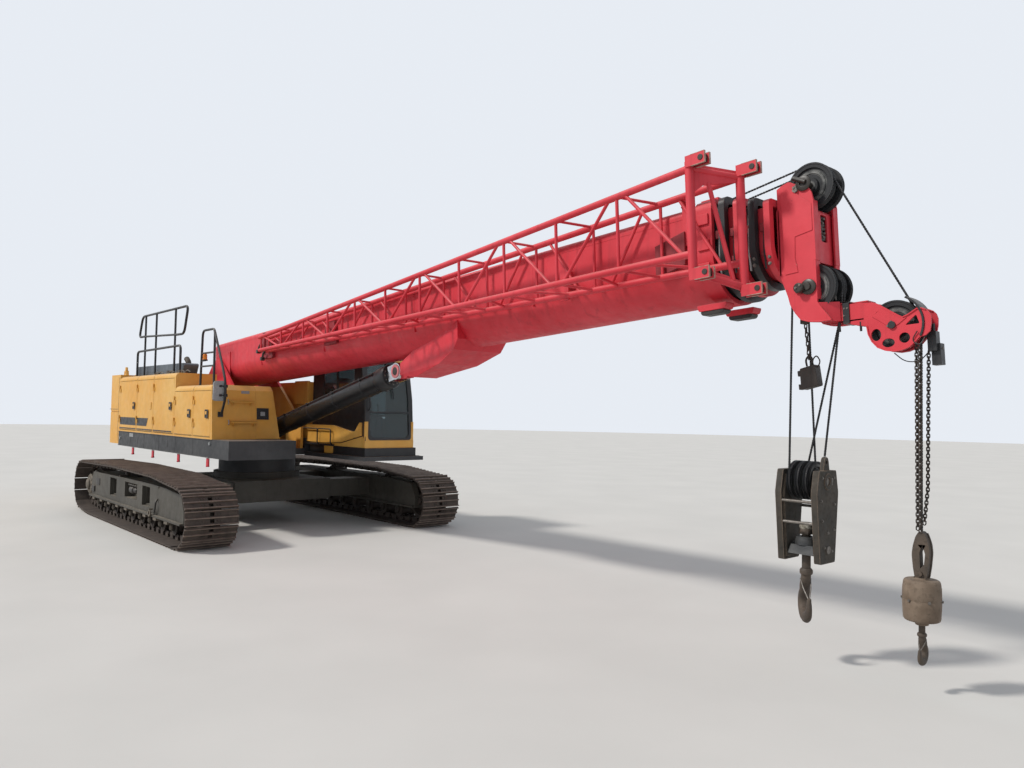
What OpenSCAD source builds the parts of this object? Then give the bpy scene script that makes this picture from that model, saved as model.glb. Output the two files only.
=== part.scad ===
// Telescopic-boom crawler crane, full size, standing with its boom down.
// Lengths are in mm. The origin is on the slewing axis at ground level,
// +X points along the boom, +Y to the machine's left and +Z up.

/* [Crawlers] */
// Distance from the slewing axis to the front idler and to the sprocket
axle_x = 2836; // [2400:10:3200]
// Distance between the centre lines of the two tracks, drawn out
track_gauge = 4200; // [4000:20:4400]
// Width of a track shoe
shoe_w = 800; // [600:10:900]
// Number of shoes in one track
shoe_count = 60; // [50:1:70]
// Thickness of a shoe plate
shoe_plate = 18; // [12:1:25]
// Height of the bars on a shoe
grouser_h = 27; // [15:1:35]
// Depth of the link chain inside the shoes
link_depth = 92; // [60:1:110]
// Radius of the front idler at the face of the links
idler_r = 335; // [300:5:350]
// Radius of the sprocket at the face of the links
sprocket_r = 348; // [320:5:360]
// Height of the sprocket's axis
sprocket_z = 545; // [535:5:580]
// Width of a crawler side frame
frame_w = 520; // [400:10:560]
// Height of the top of the side frame
frame_top = 860; // [820:5:870]
// Height of the lower flange of the side frame
frame_low = 350; // [330:5:380]
// Radius of a track roller
roller_r = 105; // [90:1:110]
// Number of track rollers in one crawler
roller_count = 9; // [7:1:10]

/* [Carbody] */
// Half width of the carbody box
carbody_half_w = 940; // [900:10:980]
// Outer width of a crawler beam, along the machine
beam_w = 420; // [380:10:440]
// Outer height of a crawler beam
beam_h = 330; // [280:10:340]
// Distance of each crawler beam from the slewing axis
beam_x = 980; // [940:10:1040]
// Height of the underside of the crawler beams
beam_z = 470; // [440:5:490]
// Wall of the carbody tubes that take the crawler beams
tube_wall = 30; // [20:1:40]
// Radius of the slewing ring
ring_r = 720; // [600:10:800]

/* [Deck and counterweight] */
// Height of the underside of the deck
deck_z = 1272; // [1240:2:1300]
// Height of the deck's side skirt
skirt_h = 321; // [280:1:340]
// Half width of the deck and of the housings on it
deck_half_w = 1444; // [1400:2:1500]
// Rear end of the deck
deck_rear = 4214; // [4100:2:4300]
// Front end of the deck on the right side
deck_front = 2163; // [2000:1:2300]
// Thickness of the skirt and deck plates
deck_plate = 24; // [10:1:30]
// Thickness of the counterweight, front to back
cw_t = 960; // [800:10:1000]
// Height of the counterweight
cw_h = 1560; // [1400:10:1650]

/* [Right housing] */
// Height of the roof of the tall rear part
tall_top = 2810; // [2760:5:2850]
// Height of the roof of the low front part
low_top = 2550; // [2500:5:2560]
// Where the tall part ends and the low part starts, behind the axis
step_x = 520; // [400:5:600]
// Front face of the low part
house_front = 1370; // [1200:5:1500]
// Thickness of the sheet and doors of the housings
sheet_t = 30; // [20:1:40]
// Gap round a housing door
door_gap = 8; // [6:1:12]
// Inner side of the right housing, from the middle of the machine
house_inner = 660; // [640:5:700]

/* [Cab] */
// Rear of the cab
cab_rear = 1030; // [950:5:1100]
// Front of the cab at its sill
cab_front = 3010; // [2900:5:3100]
// Inner side of the cab
cab_in = 640; // [620:5:680]
// Outer side of the cab
cab_out = 1640; // [1580:5:1680]
// Height of the cab floor
cab_floor = 1480; // [1450:5:1520]
// Height of the cab roof
cab_top = 3230; // [3150:5:3260]
// Thickness of the cab's walls
cab_wall = 50; // [40:1:60]
// Thickness of the glass
glass_t = 8; // [6:1:12]

/* [Boom] */
// Angle of the boom at rest, above level
boom_angle = 3.2; // [3:0.1:4]
// Boom foot pin behind the slewing axis
foot_x = 900; // [850:5:950]
// Height of the boom foot pin
foot_z = 2950; // [2930:5:3000]
// Width of the base section
boom_w = 840; // [800:5:860]
// Height of the base section
boom_h = 900; // [860:5:920]
// Underside of the base section, below the foot pin
boom_drop = 375; // [360:5:390]
// From the foot pin to the front of the base section
base_len = 11750; // [11000:10:12000]
// From the foot pin to the rear of the base section
base_tail = 330; // [300:5:350]
// Wall of a boom section
boom_wall = 12; // [10:1:16]
// Space between one section and the next
section_gap = 22; // [18:1:26]
// How far each section stands out of the one around it
collar_step = 130; // [110:1:150]
// Radius of the corners along the top of the boom
boom_corner = 70; // [50:5:90]

/* [Lift cylinder] */
// Lower pin of the lift cylinder, in front of the slewing axis
lift_x = 700; // [650:5:750]
// Height of the lower pin
lift_z = 1760; // [1700:5:1800]
// Upper pin of the lift cylinder, in front of the foot pin, along the boom
eye_x = 5940; // [5800:10:6000]
// Upper pin, below the foot pin, square to the boom
eye_drop = 547; // [540:1:580]
// Outer radius of the barrel
barrel_r = 170; // [150:1:180]
// Radius of the rod
rod_r = 115; // [90:1:120]

/* [Boom head and hooks] */
// Width between the outer faces of the head plates
head_w = 440; // [420:2:480]
// Thickness of a head plate
head_plate = 20; // [14:1:25]
// Radius of the head sheaves
sheave_r = 208; // [195:1:215]
// Thickness of a rope
rope_d = 20; // [16:1:24]
// Length of the main fall, from the head sheave to the block's sheave
main_fall = 1670; // [1600:10:1720]
// Length of the auxiliary fall, from the sheave to the top of the weight
aux_fall = 1640; // [1600:5:1700]

/* [Hidden] */
$fn = 48;
eps = 1;
// Clearance of a piece on its seat or of a shaft in its hole
seat_gap = 0.3;

// Undercarriage places
track_y = track_gauge / 2;
shoe_h = shoe_plate + grouser_h;
idler_path_r = idler_r + link_depth;
sprocket_path_r = sprocket_r + link_depth;
idler_z = shoe_h + idler_path_r;
low_wheel_r = roller_r + link_depth;
carrier_r = 75;
carrier_path_r = carrier_r + link_depth;
front_carrier = [1640, 1045 - shoe_h - carrier_path_r];
rear_carrier = [-620, 1070 - shoe_h - carrier_path_r];
first_roller_x = -2180;
last_roller_x = 2130;
roller_z = shoe_h + link_depth + roller_r;
roller_step = (last_roller_x - first_roller_x) / (roller_count - 1);
wheel_shaft_r = 24;

// Wheels that the track runs round, anticlockwise: x, z, radius at the shoes
wheels = [
    [axle_x, idler_z, idler_path_r],
    [front_carrier[0], front_carrier[1], carrier_path_r],
    [rear_carrier[0], rear_carrier[1], carrier_path_r],
    [-axle_x, sprocket_z, sprocket_path_r],
    [first_roller_x, shoe_h + low_wheel_r, low_wheel_r]
];
wheel_n = len(wheels);

function wheel(i) = wheels[(i + wheel_n) % wheel_n];
function gap_vec(i) = [wheel(i + 1)[0] - wheel(i)[0], wheel(i + 1)[1] - wheel(i)[1]];
function side_angle(i) =
    let (v = gap_vec(i), d = norm(v))
    atan2(v[1], v[0]) - acos((wheel(i)[2] - wheel(i + 1)[2]) / d);
function turn(a) = a < 0 ? turn(a + 360) : (a >= 360 ? turn(a - 360) : a);
function arc_sweep(i) = turn(side_angle(i) - side_angle(i - 1));
function line_len(i) =
    let (v = gap_vec(i), dr = wheel(i)[2] - wheel(i + 1)[2])
    sqrt(v * v - dr * dr);
function arc_len(i) = wheel(i)[2] * arc_sweep(i) * PI / 180;
// Runs of the track path: odd ones are straight, even ones go round a wheel
function run_len(k) = k % 2 == 0 ? arc_len(k / 2) : line_len((k - 1) / 2);
function path_len(k = 0) = k >= 2 * wheel_n ? 0 : run_len(k) + path_len(k + 1);
function rim(i, a, r) = [wheel(i)[0] + r * cos(a), wheel(i)[1] + r * sin(a)];
// Point and outward angle at a distance along the path
function on_path(s, k = 0) =
    s > run_len(k) && k < 2 * wheel_n - 1 ? on_path(s - run_len(k), k + 1) :
    k % 2 == 0 ?
        let (i = k / 2, a = side_angle(i - 1) + s / wheel(i)[2] * 180 / PI)
        [rim(i, a, wheel(i)[2]), a] :
        let (i = (k - 1) / 2, a = side_angle(i))
        [rim(i, a, wheel(i)[2]) + s * [-sin(a), cos(a)], a];
function off_path(s, along, out) =
    let (p = on_path(s), a = p[1])
    p[0] + along * [-sin(a), cos(a)] + out * [cos(a), sin(a)];

// Outline that lies on the wheels at a depth inside the shoes; its corners stand off so no edge cuts a wheel
arc_parts = 10;
function belt(depth) = [for (i = [0:wheel_n - 1], j = [0:arc_parts + 1])
    let (step = arc_sweep(i) / arc_parts,
         a = side_angle(i - 1) + (j == 0 ? 0 : min(j - 0.5, arc_parts)) * step,
         stand = j == 0 || j == arc_parts + 1 ? 1 : 1 / cos(step / 2))
    rim(i, a, (wheel(i)[2] - depth) * stand)];

track_len = path_len();
shoe_pitch = track_len / shoe_count;
// One shoe seen from the side: share of the pitch, height over the links
shoe_side = [
    [-0.50, 4], [-0.44, shoe_h], [-0.38, shoe_plate], [-0.08, shoe_plate],
    [-0.03, shoe_h], [0.03, shoe_h], [0.08, shoe_plate], [0.38, shoe_plate],
    [0.44, shoe_h]
];

// Deck places
deck_top = deck_z + skirt_h;
deck_floor = deck_z + 120;
cw_front = -deck_rear;

tower_half = boom_w / 2 + 50;
tower_t = 50;
tower_out = tower_half + tower_t;
tower_front = 900;
cab_base_z = deck_z + 60;

// Doors of the right housing
door_bottom = deck_top + 40;
tall_door_top = tall_top - 110;
low_door_top = low_top - 110;
hinge_out = 16;
hinge_y = -deck_half_w - hinge_out;
barrel_h = 80;
barrel_r_door = 14;
house_round = 80;
// Width of the frame between two doors
mullion = 34;
tall_seams = [0, 0.35, 0.655, 1];
low_seams = [0, 0.535, 1];
// Rear edge and width of each door of a row that runs from a to b
function door_row(a, b, seams) = [for (i = [0:len(seams) - 2])
    [a + seams[i] * (b - a) + mullion / 2 + door_gap,
     (seams[i + 1] - seams[i]) * (b - a) - mullion - 2 * door_gap]];
tall_doors = door_row(-deck_rear + 20, -step_x - 60, tall_seams);
low_doors = door_row(-step_x - 40, house_front - 40, low_seams);

// Engine and winches, from the rear of the deck
engine_rear = -deck_rear + 320;
engine_front = -deck_rear + 2500;
winch_places = [-deck_rear + 620, -deck_rear + 1470];
winch_z = deck_floor + 570;
housing_top = tall_top - 120;

// Boom places
base_mid = boom_h / 2 - boom_drop;
section_step = boom_wall + section_gap;
function section_w(k) = boom_w - 2 * k * section_step;
function section_h(k) = boom_h - 2 * k * section_step;
function section_end(k) = base_len + k * collar_step;
function section_rear(k) = -150 + 60 * k;
tip_section = 4;
head_start = section_end(tip_section);
sheave_x = head_start + 270;
sheave_z = 520;
low_sheave_x = head_start + 270;
low_sheave_z = -390;
aux_x = head_start + 885;
aux_z = -787;
sheave_bore_r = 45;
groove_d = 26;
// Centre of a rope that leaves a sheave, from the sheave's axis
rope_out = sheave_r - groove_d + rope_d / 2 + seat_gap;
block_sheave_r = 170;
cheek_x = 165;
block_rope_out = block_sheave_r + rope_d / 2 + seat_gap;

// Lift cylinder places
foot_pin_r = 85;
lift_pin_r = 75;
fork_in = 62;
fork_out = 112;
foot = [-foot_x, 0, foot_z];
function boom_point(x, z) = [
    foot[0] + x * cos(boom_angle) - z * sin(boom_angle), 0,
    foot[2] + x * sin(boom_angle) + z * cos(boom_angle)];
lift_eye = boom_point(eye_x, -eye_drop);
lift_foot = [lift_x, 0, lift_z];
lift_vec = lift_eye - lift_foot;
lift_len = norm(lift_vec);
lift_tilt = atan2(lift_vec[2], lift_vec[0]);
gland_len = lift_len - 260;

// Hooks
main_pin = boom_point(low_sheave_x, low_sheave_z);
aux_pin = boom_point(aux_x, aux_z);
main_rope_x = main_pin[0] - 130;
main_block_z = main_pin[2] - main_fall;
aux_rope_x = aux_pin[0] + rope_out;
aux_weight_top = aux_pin[2] - aux_fall;
aux_weight_z = aux_weight_top - 690;
hook_shank_r = 42;
main_bowl = 118;
main_hook_z = main_block_z - 1070;
aux_bowl = 62;
aux_hook_z = aux_weight_z - 255;

olive = "#5c5d4e";
rust = "#4a3a30";
amber = "#e0992a";
charcoal = "#2b2b2d";
boom_red = "#d8454f";
black = "#161616";

// A box between two corners
module block(a, b) {
    translate([min(a[0], b[0]), min(a[1], b[1]), min(a[2], b[2])])
        cube([abs(b[0] - a[0]), abs(b[1] - a[1]), abs(b[2] - a[2])]);
}

// A round bar between two points
module bar(a, b, r, spin = 0) {
    v = b - a;
    translate(a)
        rotate([0, acos(v[2] / norm(v)), atan2(v[1], v[0])])
            rotate([0, 0, spin]) cylinder(h = norm(v), r = r);
}

// A plate drawn in x and z, centred on y
module side_plate(points, y, t) {
    translate([0, y + t / 2, 0]) rotate([90, 0, 0])
        linear_extrude(t) polygon(points);
}

// A shaft or disc across the machine, centred on y
module cross_disc(x, y, z, r, w) {
    translate([x, y + w / 2, z]) rotate([90, 0, 0]) cylinder(h = w, r = r);
}

// Undercarriage

module beam_tube() {
    half = beam_w / 2 + tube_wall;
    difference() {
        block([-half, -carbody_half_w, beam_z - tube_wall],
              [half, carbody_half_w, beam_z + beam_h + tube_wall]);
        block([-beam_w / 2 - 5, -carbody_half_w - eps, beam_z - 5],
              [beam_w / 2 + 5, carbody_half_w + eps, beam_z + beam_h + 5]);
    }
}

module carbody() {
    color(olive) {
        for (s = [-1, 1]) translate([s * beam_x, 0, 0]) beam_tube();
        between = beam_x - beam_w / 2 - tube_wall;
        block([-between, -carbody_half_w + 60, beam_z - tube_wall],
              [between, carbody_half_w - 60, beam_z + beam_h + tube_wall]);
        translate([0, 0, beam_z + beam_h + tube_wall])
            cylinder(h = 110, r = ring_r + 90);
        // Bearing pads that carry the crawler beams
        for (s = [-1, 1], e = [-1, 1])
            block([s * beam_x - 150, e * (carbody_half_w - 120), beam_z - 5],
                  [s * beam_x + 150, e * (carbody_half_w - 10), beam_z - seat_gap]);
    }
}

ring_z = beam_z + beam_h + tube_wall + 110;

module slew_ring() {
    color(charcoal) difference() {
        translate([0, 0, ring_z + seat_gap])
            cylinder(h = deck_z - ring_z - seat_gap, r = ring_r);
        translate([0, 0, ring_z - eps]) cylinder(h = deck_z, r = ring_r - 130);
    }
}

frame_rear = -axle_x + sprocket_r + 15;
frame_side = [
    [frame_rear, frame_low], [axle_x - 10, frame_low], [axle_x - 20, 560],
    [axle_x - 160, 800], [axle_x - 880, frame_top - 15], [1250, frame_top],
    [-axle_x + 440, frame_top - 30], [frame_rear, 700]
];
idler_w = 270;
fork_half = idler_w / 2 + 10;

module side_frame(side) {
    y = side * track_y;
    inner = -side * (frame_w / 2);
    color(olive) {
        difference() {
            union() {
                side_plate(frame_side, y, frame_w);
                side_plate([[frame_rear, frame_low], [axle_x - 30, frame_low],
                            [axle_x - 30, frame_low + 30], [frame_rear, frame_low + 30]],
                           y, frame_w + 110);
            }
            for (s = [-1, 1])
                block([s * beam_x - beam_w / 2, y - frame_w, beam_z],
                      [s * beam_x + beam_w / 2, y + side * (frame_w / 2 - 60), beam_z + beam_h]);
            for (s = [-1, 1])
                block([s * beam_x - beam_w / 2 + 20, y - frame_w, beam_z + 20],
                      [s * beam_x + beam_w / 2 - 20, y + frame_w, beam_z + beam_h - 20]);
            block([-240, y + side * (frame_w / 2 - 160), 520],
                  [480, y + side * frame_w, frame_top - 70]);
            // Fork of the idler, its shaft and the pockets of the carrier rollers
            block([axle_x - idler_r - 40, y - fork_half, 0], [axle_x + 400, y + fork_half, 1200]);
            for (c = [front_carrier, rear_carrier]) {
                block([c[0] - 100, y - 140, c[1] - 100], [c[0] + 100, y + 140, 1200]);
                cross_disc(c[0], y, c[1], wheel_shaft_r + seat_gap, frame_w + 200);
            }
        }
        for (i = [0:roller_count - 1], e = [-1, 1])
            difference() {
                block([first_roller_x + i * roller_step - 50, y + e * 175, roller_z - 50],
                      [first_roller_x + i * roller_step + 50, y + e * 205, frame_low]);
                cross_disc(first_roller_x + i * roller_step, y, roller_z, wheel_shaft_r + seat_gap, 600);
            }
        for (s = [-1, 1])
            difference() {
                block([s * beam_x - beam_w / 2, side * 770, beam_z],
                      [s * beam_x + beam_w / 2, y + side * (frame_w / 2 - 60), beam_z + beam_h]);
                block([s * beam_x - beam_w / 2 + 25, side * 700, beam_z + 25],
                      [s * beam_x + beam_w / 2 - 25, y + side * frame_w, beam_z + beam_h - 25]);
            }
    }
}

module track(side) {
    outer = [for (i = [0:shoe_count - 1], p = shoe_side)
        off_path(i * shoe_pitch, p[0] * shoe_pitch, p[1])];
    inner = [for (i = [0:shoe_count - 1]) off_path((i + 0.5) * shoe_pitch, 0, -2)];
    color(rust) {
        translate([0, side * track_y + shoe_w / 2, 0]) rotate([90, 0, 0])
            linear_extrude(shoe_w) difference() {
                polygon(outer);
                polygon(inner);
            }
        for (s = [-1, 1])
            translate([0, side * track_y + s * 110 + 25, 0]) rotate([90, 0, 0])
                linear_extrude(50) difference() {
                    polygon(belt(1));
                    polygon(belt(link_depth));
                }
    }
}

module running_wheels(side) {
    y = side * track_y;
    color(rust) {
        cross_disc(axle_x, y, idler_z, idler_r - seat_gap, idler_w);
        cross_disc(axle_x, y, idler_z, 110, 2 * fork_half - 2 * seat_gap);
        cross_disc(-axle_x, y, sprocket_z, sprocket_r - seat_gap, 120);
        cross_disc(-axle_x, y, sprocket_z, 235, 460);
        // Final drive between the sprocket and the end of the side frame
        difference() {
            cross_disc(-axle_x, y, sprocket_z, 260, 200);
            cross_disc(-axle_x, y, sprocket_z, 234, 210);
        }
        block([-axle_x + 200, y - 90, sprocket_z - 120], [frame_rear - seat_gap, y + 90, sprocket_z + 120]);
        for (i = [0:roller_count - 1]) {
            x = first_roller_x + i * roller_step;
            cross_disc(x, y, roller_z, roller_r - seat_gap, 320);
            cross_disc(x, y, roller_z, wheel_shaft_r, 430);
        }
        for (c = [front_carrier, rear_carrier]) {
            cross_disc(c[0], y, c[1], carrier_r - seat_gap, 260);
            cross_disc(c[0], y, c[1], wheel_shaft_r, frame_w);
        }
    }
}

// Deck, counterweight and housings

// A skirt box open below, between two corners
module skirt(a, b) {
    difference() {
        block(a, b);
        block([a[0] + deck_plate, a[1] + deck_plate, deck_z - eps],
              [b[0] - deck_plate, b[1] - deck_plate, deck_top - deck_plate]);
    }
}

module deck() {
    color(charcoal) {
        // Main frame over the slewing ring
        block([-deck_rear, -tower_out - 30, deck_z], [tower_front, tower_out + 30, deck_floor]);
        skirt([-deck_rear, -deck_half_w, deck_z], [tower_front, -tower_out - 30, deck_top]);
        skirt([tower_front, -deck_half_w, deck_z], [deck_front, -250, deck_top]);
        skirt([-deck_rear, tower_out + 30, deck_z], [tower_front, deck_half_w, deck_top]);
        // Cab platform
        block([tower_front, cab_in - 90, deck_z - 10], [cab_front + 110, cab_out + 150, cab_base_z]);
        // Bearing plate under the main frame
        block([-1100, -tower_out - 29, deck_z], [tower_front - 1, tower_out + 29, deck_z + 60]);
    }
}

module counterweight() {
    low = deck_z + 30;
    top = low + cw_h;
    corner = 190;
    color(amber) {
        difference() {
            block([cw_front - cw_t, -deck_half_w, low], [cw_front, deck_half_w, top]);
            // Cut corners at the rear, a sloping top edge and the joint between the two slabs
            for (s = [-1, 1])
                translate([cw_front - cw_t, s * deck_half_w, low - eps])
                    rotate([0, 0, 45]) translate([-corner, -corner, 0]) cube([2 * corner, 2 * corner, cw_h + 2 * eps]);
            side_plate([[cw_front - cw_t - eps, top - 90], [cw_front - cw_t - eps, top + eps],
                        [cw_front - cw_t + 90, top + eps]], 0, 2 * deck_half_w + 10);
            for (s = [-1, 1])
                block([cw_front - cw_t - eps, s * deck_half_w, low + 0.46 * cw_h],
                      [cw_front + eps, s * (deck_half_w - 15), low + 0.46 * cw_h + 14]);
        }
        for (s = [-1, 1])
            difference() {
                translate([0, s * (deck_half_w - 260), 0])
                    side_plate([[cw_front - 620, top], [cw_front - 420, top],
                                [cw_front - 450, top + 120], [cw_front - 590, top + 120]], 0, 60);
                cross_disc(cw_front - 520, s * (deck_half_w - 260), top + 65, 30, 100);
            }
    }
}

module engine() {
    color(charcoal)
        block([engine_rear, -deck_half_w + 150, deck_top],
              [engine_front, -house_inner - 60, deck_top + 900]);
}

// Rounds a long edge along x: cuts the corner at y and z down to a radius
module round_edge(x0, x1, y, z, r, side) {
    difference() {
        block([x0, y + side * 5, z - r], [x1, y - side * r, z + 5]);
        translate([x0 - eps, y - side * r, z - r]) rotate([0, 90, 0]) cylinder(h = x1 - x0 + 2 * eps, r = r);
    }
}

house_side = [
    [-deck_rear, deck_top], [house_front + 40, deck_top], [house_front - 30, low_top - 90],
    [house_front - 110, low_top], [-step_x, low_top], [-step_x, tall_top], [-deck_rear, tall_top]
];
inner_side = [
    [-deck_rear + sheet_t, deck_top - 10], [house_front + 10 - sheet_t, deck_top - 10],
    [house_front - 40 - sheet_t, low_top - 100], [house_front - 120, low_top - sheet_t],
    [-step_x - sheet_t, low_top - sheet_t], [-step_x - sheet_t, tall_top - sheet_t],
    [-deck_rear + sheet_t, tall_top - sheet_t]
];

module house_shell() {
    mid = -(deck_half_w + house_inner) / 2;
    wide = deck_half_w - house_inner;
    color(amber) difference() {
        side_plate(house_side, mid, wide);
        side_plate(inner_side, mid, wide - 2 * sheet_t);
        round_edge(-deck_rear - eps, -step_x + eps, -deck_half_w, tall_top, house_round, -1);
        round_edge(-step_x, house_front + 60, -deck_half_w, low_top, house_round, -1);
        for (d = tall_doors)
            block([d[0] - door_gap, -deck_half_w - 10, door_bottom - door_gap],
                  [d[0] + d[1] + door_gap, -deck_half_w + sheet_t + 5, tall_door_top + door_gap]);
        for (d = low_doors)
            block([d[0] - door_gap, -deck_half_w - 10, door_bottom - door_gap],
                  [d[0] + d[1] + door_gap, -deck_half_w + sheet_t + 5, low_door_top + door_gap]);
    }
    color(amber) {
        for (d = tall_doors) door_knuckles(d[0], tall_door_top);
        for (d = low_doors) door_knuckles(d[0], low_door_top);
    }
}

// Heights of a door's two hinge barrels
function barrel_z(top) = [door_bottom + 160, top - 240];

// Fixed halves of a door's hinges, on the sheet beside the door
module door_knuckles(x, top) {
    for (z = barrel_z(top)) {
        translate([x, hinge_y, z + barrel_h + seat_gap]) cylinder(h = 70, r = barrel_r_door);
        block([x - 60, hinge_y, z + barrel_h + seat_gap],
              [x - 4, -deck_half_w, z + barrel_h + seat_gap + 70]);
    }
}

// A flat housing door with its two hinge barrels and its latch
module house_door(d, top) {
    mid = (door_bottom + top) / 2;
    color(amber) {
        block([d[0], -deck_half_w, door_bottom], [d[0] + d[1], -deck_half_w + sheet_t, top]);
        for (z = barrel_z(top)) {
            translate([d[0], hinge_y, z]) cylinder(h = barrel_h, r = barrel_r_door);
            block([d[0] + 4, hinge_y, z], [d[0] + 60, -deck_half_w, z + barrel_h]);
        }
    }
    color(black)
        block([d[0] + d[1] - 210, -deck_half_w - 12, mid - 70],
              [d[0] + d[1] - 90, -deck_half_w, mid + 70]);
}

// Left housing: a sheet shell open below, with the seams of its three doors
module left_housing() {
    seam = 8;
    color(amber) difference() {
        block([-deck_rear, house_inner, deck_top], [tower_front - 60, deck_half_w, housing_top]);
        block([-deck_rear + sheet_t, house_inner + sheet_t, deck_top - eps],
              [tower_front - 60 - sheet_t, deck_half_w - sheet_t, housing_top - sheet_t]);
        round_edge(-deck_rear - eps, tower_front - 60 + eps, deck_half_w, housing_top, house_round, 1);
        for (t = [0.02, 0.33, 0.66, 0.98])
            block([-deck_rear + t * (deck_rear + tower_front - 60), deck_half_w - seam, deck_top + 40],
                  [-deck_rear + t * (deck_rear + tower_front - 60) + seam, deck_half_w + eps, housing_top - 110]);
        for (z = [deck_top + 40, housing_top - 110])
            block([-deck_rear + 0.02 * (deck_rear + tower_front - 60), deck_half_w - seam, z],
                  [-deck_rear + 0.98 * (deck_rear + tower_front - 60) + seam, deck_half_w + eps, z + seam]);
    }
}

cab_side = [
    [cab_rear, cab_floor], [cab_front, cab_floor], [cab_front, cab_floor + 120],
    [cab_front - 60, 2350], [cab_front - 230, cab_top - 70], [cab_front - 330, cab_top],
    [cab_rear + 60, cab_top], [cab_rear, cab_top - 60]
];

module cab_shell() {
    mid = (cab_in + cab_out) / 2;
    wide = cab_out - cab_in;
    color(amber) difference() {
        side_plate(cab_side, mid, wide);
        block([cab_rear + cab_wall, cab_in + cab_wall, cab_floor + cab_wall],
              [cab_front - 330, cab_out - cab_wall, cab_top - cab_wall]);
        side_plate([[cab_front - 400, cab_floor + cab_wall], [cab_front - cab_wall, cab_floor + cab_wall],
                    [cab_front - cab_wall, cab_floor + 130], [cab_front - 60 - cab_wall, 2340],
                    [cab_front - 290, cab_top - 110], [cab_front - 340, cab_top - cab_wall],
                    [cab_front - 400, cab_top - cab_wall]], mid, wide - 2 * cab_wall);
        // Front, right, rear and roof windows, and the door's opening
        block([cab_front - 400, cab_in + 70, cab_floor + 160], [cab_front + 10, cab_out - 70, cab_top - 190]);
        block([cab_rear + 110, cab_in - 10, cab_floor + 480], [cab_front - 330, cab_in + 60, cab_top - 150]);
        block([cab_rear - 10, cab_in + 120, cab_floor + 700], [cab_rear + 60, cab_out - 120, cab_top - 180]);
        block([cab_rear + 90, cab_out - 60, cab_floor + 90], [cab_rear + 1150, cab_out + 10, cab_top - 110]);
    }
    color(black)
        block([cab_rear - 20, cab_in - 20, cab_base_z], [cab_front + 20, cab_out + 10, cab_floor]);
    color(amber)
        for (z = cab_barrel_z) {
            translate([cab_door_x, cab_out + hinge_out, z + barrel_h + seat_gap])
                cylinder(h = 70, r = barrel_r_door);
            block([cab_door_x - 60, cab_out, z + barrel_h + seat_gap],
                  [cab_door_x - 4, cab_out + hinge_out, z + barrel_h + seat_gap + 70]);
        }
}

cab_door_x = cab_rear + 90 + door_gap;
cab_barrel_z = [cab_floor + 250, cab_top - 350];

module cab_door() {
    x0 = cab_door_x;
    x1 = cab_rear + 1150 - door_gap;
    z0 = cab_floor + 90 + door_gap;
    z1 = cab_top - 110 - door_gap;
    color(amber) {
        difference() {
            block([x0, cab_out - 40, z0], [x1, cab_out, z1]);
            block([x0 + 70, cab_out - 50, z0 + 420], [x1 - 70, cab_out + 10, z1 - 70]);
        }
        for (z = cab_barrel_z) {
            translate([x0, cab_out + hinge_out, z]) cylinder(h = barrel_h, r = barrel_r_door);
            block([x0 + 4, cab_out, z], [x0 + 60, cab_out + hinge_out, z + barrel_h]);
        }
    }
}

module cab_glass() {
    g = seat_gap;
    color([0.1, 0.15, 0.16, 0.5]) {
        block([cab_front - 48, cab_in + 70 + g, cab_floor + 160 + g],
              [cab_front - 48 + glass_t, cab_out - 70 - g, 2200]);
        block([cab_rear + 110 + g, cab_in + 20, cab_floor + 480 + g],
              [cab_front - 330 - g, cab_in + 20 + glass_t, cab_top - 150 - g]);
        block([cab_rear + 20, cab_in + 120 + g, cab_floor + 700 + g],
              [cab_rear + 20 + glass_t, cab_out - 120 - g, cab_top - 180 - g]);
    }
}

module cab_seat() {
    mid = (cab_in + cab_out) / 2;
    color(black) {
        block([cab_rear + 470, mid - 150, cab_floor + cab_wall], [cab_rear + 770, mid + 150, cab_floor + 330]);
        block([cab_rear + 350, mid - 250, cab_floor + 330], [cab_rear + 890, mid + 250, cab_floor + 460]);
        block([cab_rear + 300, mid - 240, cab_floor + 460], [cab_rear + 410, mid + 240, cab_floor + 1080]);
    }
}

module boom_tower() {
    tower = [
        [-2300, deck_floor], [tower_front - 20, deck_floor], [tower_front - 20, deck_top + 260],
        [-foot_x + 260, foot_z + 60], [-foot_x, foot_z + 210], [-foot_x - 260, foot_z + 60],
        [-2300, deck_top + 400]
    ];
    color(amber) {
        for (s = [-1, 1]) difference() {
            side_plate(tower, s * (tower_half + tower_t / 2), tower_t);
            cross_disc(-foot_x, s * (tower_half + tower_t / 2), foot_z, foot_pin_r + 0.05, 60);
        }
        // Bracket of the lift cylinder's lower pin
        for (s = [-1, 1])
            side_plate([[lift_x - 260, deck_floor], [tower_front - 20, deck_floor],
                        [lift_x + 130, lift_z + 90], [lift_x - 130, lift_z + 90]], s * 205, 50);
        cross_disc(lift_x, 0, lift_z, lift_pin_r, 400);
    }
}

module winches() {
    drum_r = 230;
    flange_r = 330;
    drum_w = 700;
    color(charcoal) for (x = winch_places) {
        cross_disc(x, 0, winch_z, drum_r, drum_w);
        cross_disc(x, 0, winch_z, 60, drum_w + 150);
        for (s = [-1, 1]) cross_disc(x, s * (drum_w / 2 + 15), winch_z, flange_r, 30);
        for (s = [-1, 1])
            side_plate([[x - 250, deck_floor], [x + 250, deck_floor], [x + 120, winch_z + 90],
                        [x - 120, winch_z + 90]], s * (drum_w / 2 + 60), 40);
    }
}

rail_r = 21;

module rail_loop(points, r = rail_r) {
    for (i = [0:len(points) - 2]) bar(points[i], points[i + 1], r);
    for (i = [1:1:len(points) - 2]) translate(points[i]) sphere(r = r + 3, $fn = 24);
}

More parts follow.
